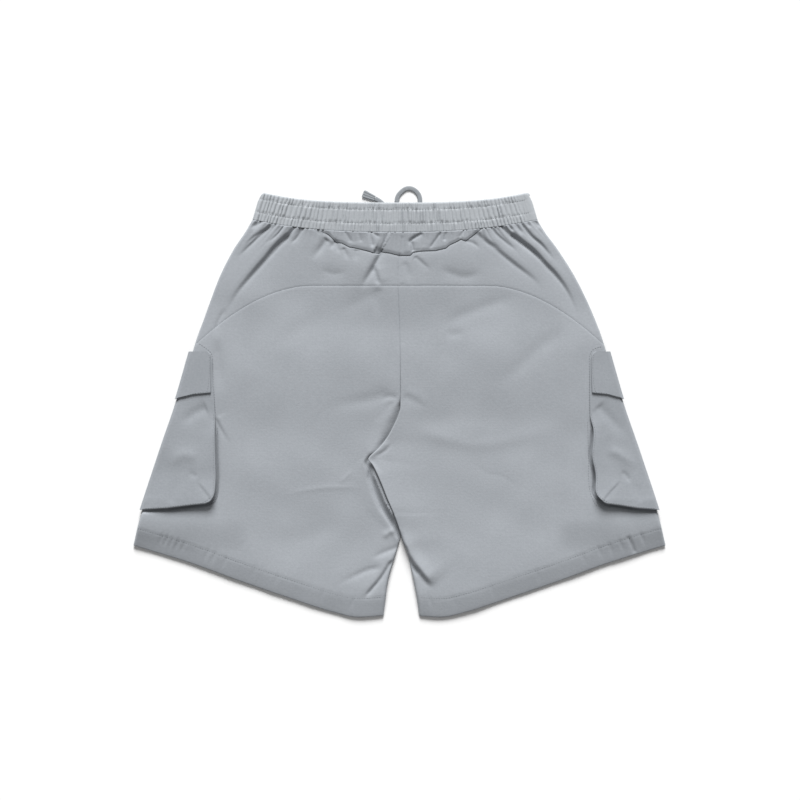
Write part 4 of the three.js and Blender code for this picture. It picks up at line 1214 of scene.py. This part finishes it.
class SHORTS_OT_backs(BuildOperator, bpy.types.Operator):
    """Makes the back: yoke, hips and legs"""
    bl_idname = "shorts.backs"
    bl_label = "Back panels"

    def execute(self, context):
        for side, key in SIDES:
            lines = hip_lines(side)

            def hip_height(x, y):
                under = (1 - smoothstep(99, 106, np.abs(x)))
                away = np.maximum(np.interp(x, *np.array(V_SEAM).T) - y, 0)
                return back_height(x, y) - 0.9 * under * np.exp(-away / 3.5)

            points = panel_points(lines, (84, 148), (DEEP_SEAM, FAINT_SEAM, FAINT_SEAM, FOLD), hip_height, 2.45)
            hip = cloth_piece(f"back_hip_{key}_cloth", points, f"back_hip_{key}", material(BODY))

            lines = yoke_lines(side)

            def yoke_height(x, y):
                z = back_height(x, y) + 1.35 * crease_height(YOKE_CREASES, x, y)
                return z + 0.9 * smoothstep(0, 5, y - np.interp(x, *np.array(V_SEAM).T))

            points = panel_points(lines, (30, 92), (DEEP_SEAM, FREE, FAINT_SEAM, FAINT_SEAM), yoke_height, 0)
            yoke = cloth_piece(f"back_yoke_{key}_cloth", points, f"back_yoke_{key}", material(BODY))

            lines = leg_lines(side)
            points = panel_points(lines, (208, 186), (FAINT_SEAM, FREE, SEAM, FOLD), leg_height(side), 2.45)
            leg = cloth_piece(f"back_leg_{key}_cloth", points, f"back_leg_{key}", material(BODY))
            rows = [(on_surface(hem_stitch_line(side), leg_height(side), 0.1), sizes().stitch_pitch / MM, 0.62)]
            stitch_mesh(f"hem_stitches_{key}", rows, 0.6, material(THREAD))
        return {"FINISHED"}


class SHORTS_OT_fronts(BuildOperator, bpy.types.Operator):
    """Makes the two front panels, which lie on the table"""
    bl_idname = "shorts.fronts"
    bl_label = "Front panels"

    def execute(self, context):
        for side, key in SIDES:
            lines = front_lines(side)

            def front_height(x, y):
                folds = -0.45 * np.minimum(crease_height(HIP_CREASES, x * 0.97 + 4, y - 3), 0)
                lift = cord_lift(x, y) + pocket_lift(x, y)
                return np.clip(0.08 + lift + folds + 0.15 * np.abs(unevenness(x, y, 9, 1.0)), 0.05, lift + 1.6)

            points = panel_points(lines, (150, 104), (PLAIN, PLAIN, PLAIN, PLAIN), front_height, 0)
            outer_away = np.abs(points[..., 0] - side_x(side, points[..., 1]))
            rise = np.clip(1 - outer_away / 3.4, 0, 1)
            points[..., 2] += (2.4 - np.minimum(points[..., 2], 2.4)) * (1 - np.sqrt(1 - rise**2))
            front = cloth_piece(f"front_{key}_cloth", points, f"front_{key}", material(BODY), up=False)
        return {"FINISHED"}


class SHORTS_OT_waistband(BuildOperator, bpy.types.Operator):
    """Makes the elastic waistband's back in two halves, and its front round the right side"""
    bl_idname = "shorts.waistband"
    bl_label = "Waistband"

    def execute(self, context):
        parts = (
            ("waistband_back_left", band_back_net(-182.0, BAND_MIDDLE), True, (0.5, 0.5)),
            ("waistband_back_right", band_back_net(BAND_MIDDLE, 170.0), True, (0.5, 0.5)),
            ("waistband_front", band_front_net(), False, (0.5, 0.3)),
        )
        for name, net, up, probe in parts:
            band = cloth_piece(f"{name}_cloth", net, name, material(BAND), up, probe, 1.7)
        pitch = 0.7 * sizes().stitch_pitch / MM
        rows = [(band_stitch_line(down, -179, 174), pitch, 0.62) for down in BAND_STITCH_DOWN]
        stitch_mesh("waistband_elastic_stitches", rows, 0.6, material(THREAD))
        turns = np.linspace(0, 2 * math.pi, 40)
        rings = [
            (np.column_stack([x + 5.2 * np.cos(turns), y + 1.7 * np.sin(turns), 0 * turns + CORD_LIFT]), 1.1, 0.9)
            for x, y, _ in (LEFT_CORD[0], RIGHT_CORD[0])
        ]
        stitch_mesh("buttonhole_stitches", rings, 0.9, material(THREAD))
        return {"FINISHED"}


class SHORTS_OT_pockets(BuildOperator, bpy.types.Operator):
    """Makes each cargo pocket's bag, bellows strip and flap"""
    bl_idname = "shorts.pockets"
    bl_label = "Cargo pockets"

    def execute(self, context):
        for side, key in SIDES:
            parts = (
                ("pocket_bag", wrap_net(side, BAG_EDGE, BAG_FOOT, BAG_BULGE, bag_height(side), (112, 24, 66),
                                        BAG_FREE, 0.75), (0.2, 0.215)),
                ("pocket_flap", wrap_net(side, FLAP_EDGE, FLAP_FOOT, FLAP_BULGE, flap_height(side), (48, 12, 40),
                                         FLAP_FREE, 0.0), (0.2, 0.215)),
            )
            for name, net, _ in parts:
                piece = cloth_piece(f"{name}_{key}_cloth", net, f"{name}_{key}", material(SHADED_POCKET),
                                    True, (0.5, 0.8))
            net = gusset_net(side)
            gusset = cloth_piece(f"pocket_gusset_{key}_cloth", net, f"pocket_gusset_{key}",
                                 material(SHADED_POCKET), True, (0.2, 0.5))
            pitch = sizes().stitch_pitch / MM
            flap_line = pocket_stitch_line(side, FLAP_EDGE, FLAP_FOOT, 2.0, 67, 0.9)
            bag_line = pocket_stitch_line(side, BAG_EDGE, BAG_FOOT, 2.2, 0, 0.95)
            rows = [
                (on_surface(flap_line, flap_height(side), 0.15), pitch, 0.62),
                (on_surface(bag_line, bag_height(side), 0.15), pitch, 0.62),
                (on_surface(smooth_line(BAG_OUTLINE[side]), leg_height(side), 0.12), pitch, 0.7),
                (on_surface(smooth_line(STRIP_SEAM[side]), leg_height(side), 0.12), pitch, 0.7),
            ]
            stitch_mesh(f"pocket_stitches_{key}", rows, 0.6, material(THREAD))
        return {"FINISHED"}


BUILD_ORDER = ("stage", "drawcord", "fronts", "backs", "waistband", "pockets")


class SHORTS_PT_panel(bpy.types.Panel):
    bl_label = "Cargo shorts"
    bl_idname = "SHORTS_PT_panel"
    bl_space_type = "VIEW_3D"
    bl_region_type = "UI"
    bl_category = "Shorts"

    def draw(self, context):
        for group in (context.scene.shorts_sizes, context.scene.shorts_looks):
            for name in group.__annotations__:
                self.layout.prop(group, name)
        for name in BUILD_ORDER:
            self.layout.operator(f"shorts.{name}")


CLASSES = (
    ShortsSizes, ShortsLooks, SHORTS_OT_stage, SHORTS_OT_drawcord, SHORTS_OT_fronts, SHORTS_OT_backs,
    SHORTS_OT_waistband, SHORTS_OT_pockets, SHORTS_PT_panel,
)


def register():
    for cls in CLASSES:
        bpy.utils.register_class(cls)
    bpy.types.Scene.shorts_sizes = bpy.props.PointerProperty(type=ShortsSizes)
    bpy.types.Scene.shorts_looks = bpy.props.PointerProperty(type=ShortsLooks)


def unregister():
    del bpy.types.Scene.shorts_looks
    del bpy.types.Scene.shorts_sizes
    for cls in reversed(CLASSES):
        bpy.utils.unregister_class(cls)


def main():
    register()
    for name in BUILD_ORDER:
        getattr(bpy.ops.shorts, name)()


if __name__ == "__main__":
    main()
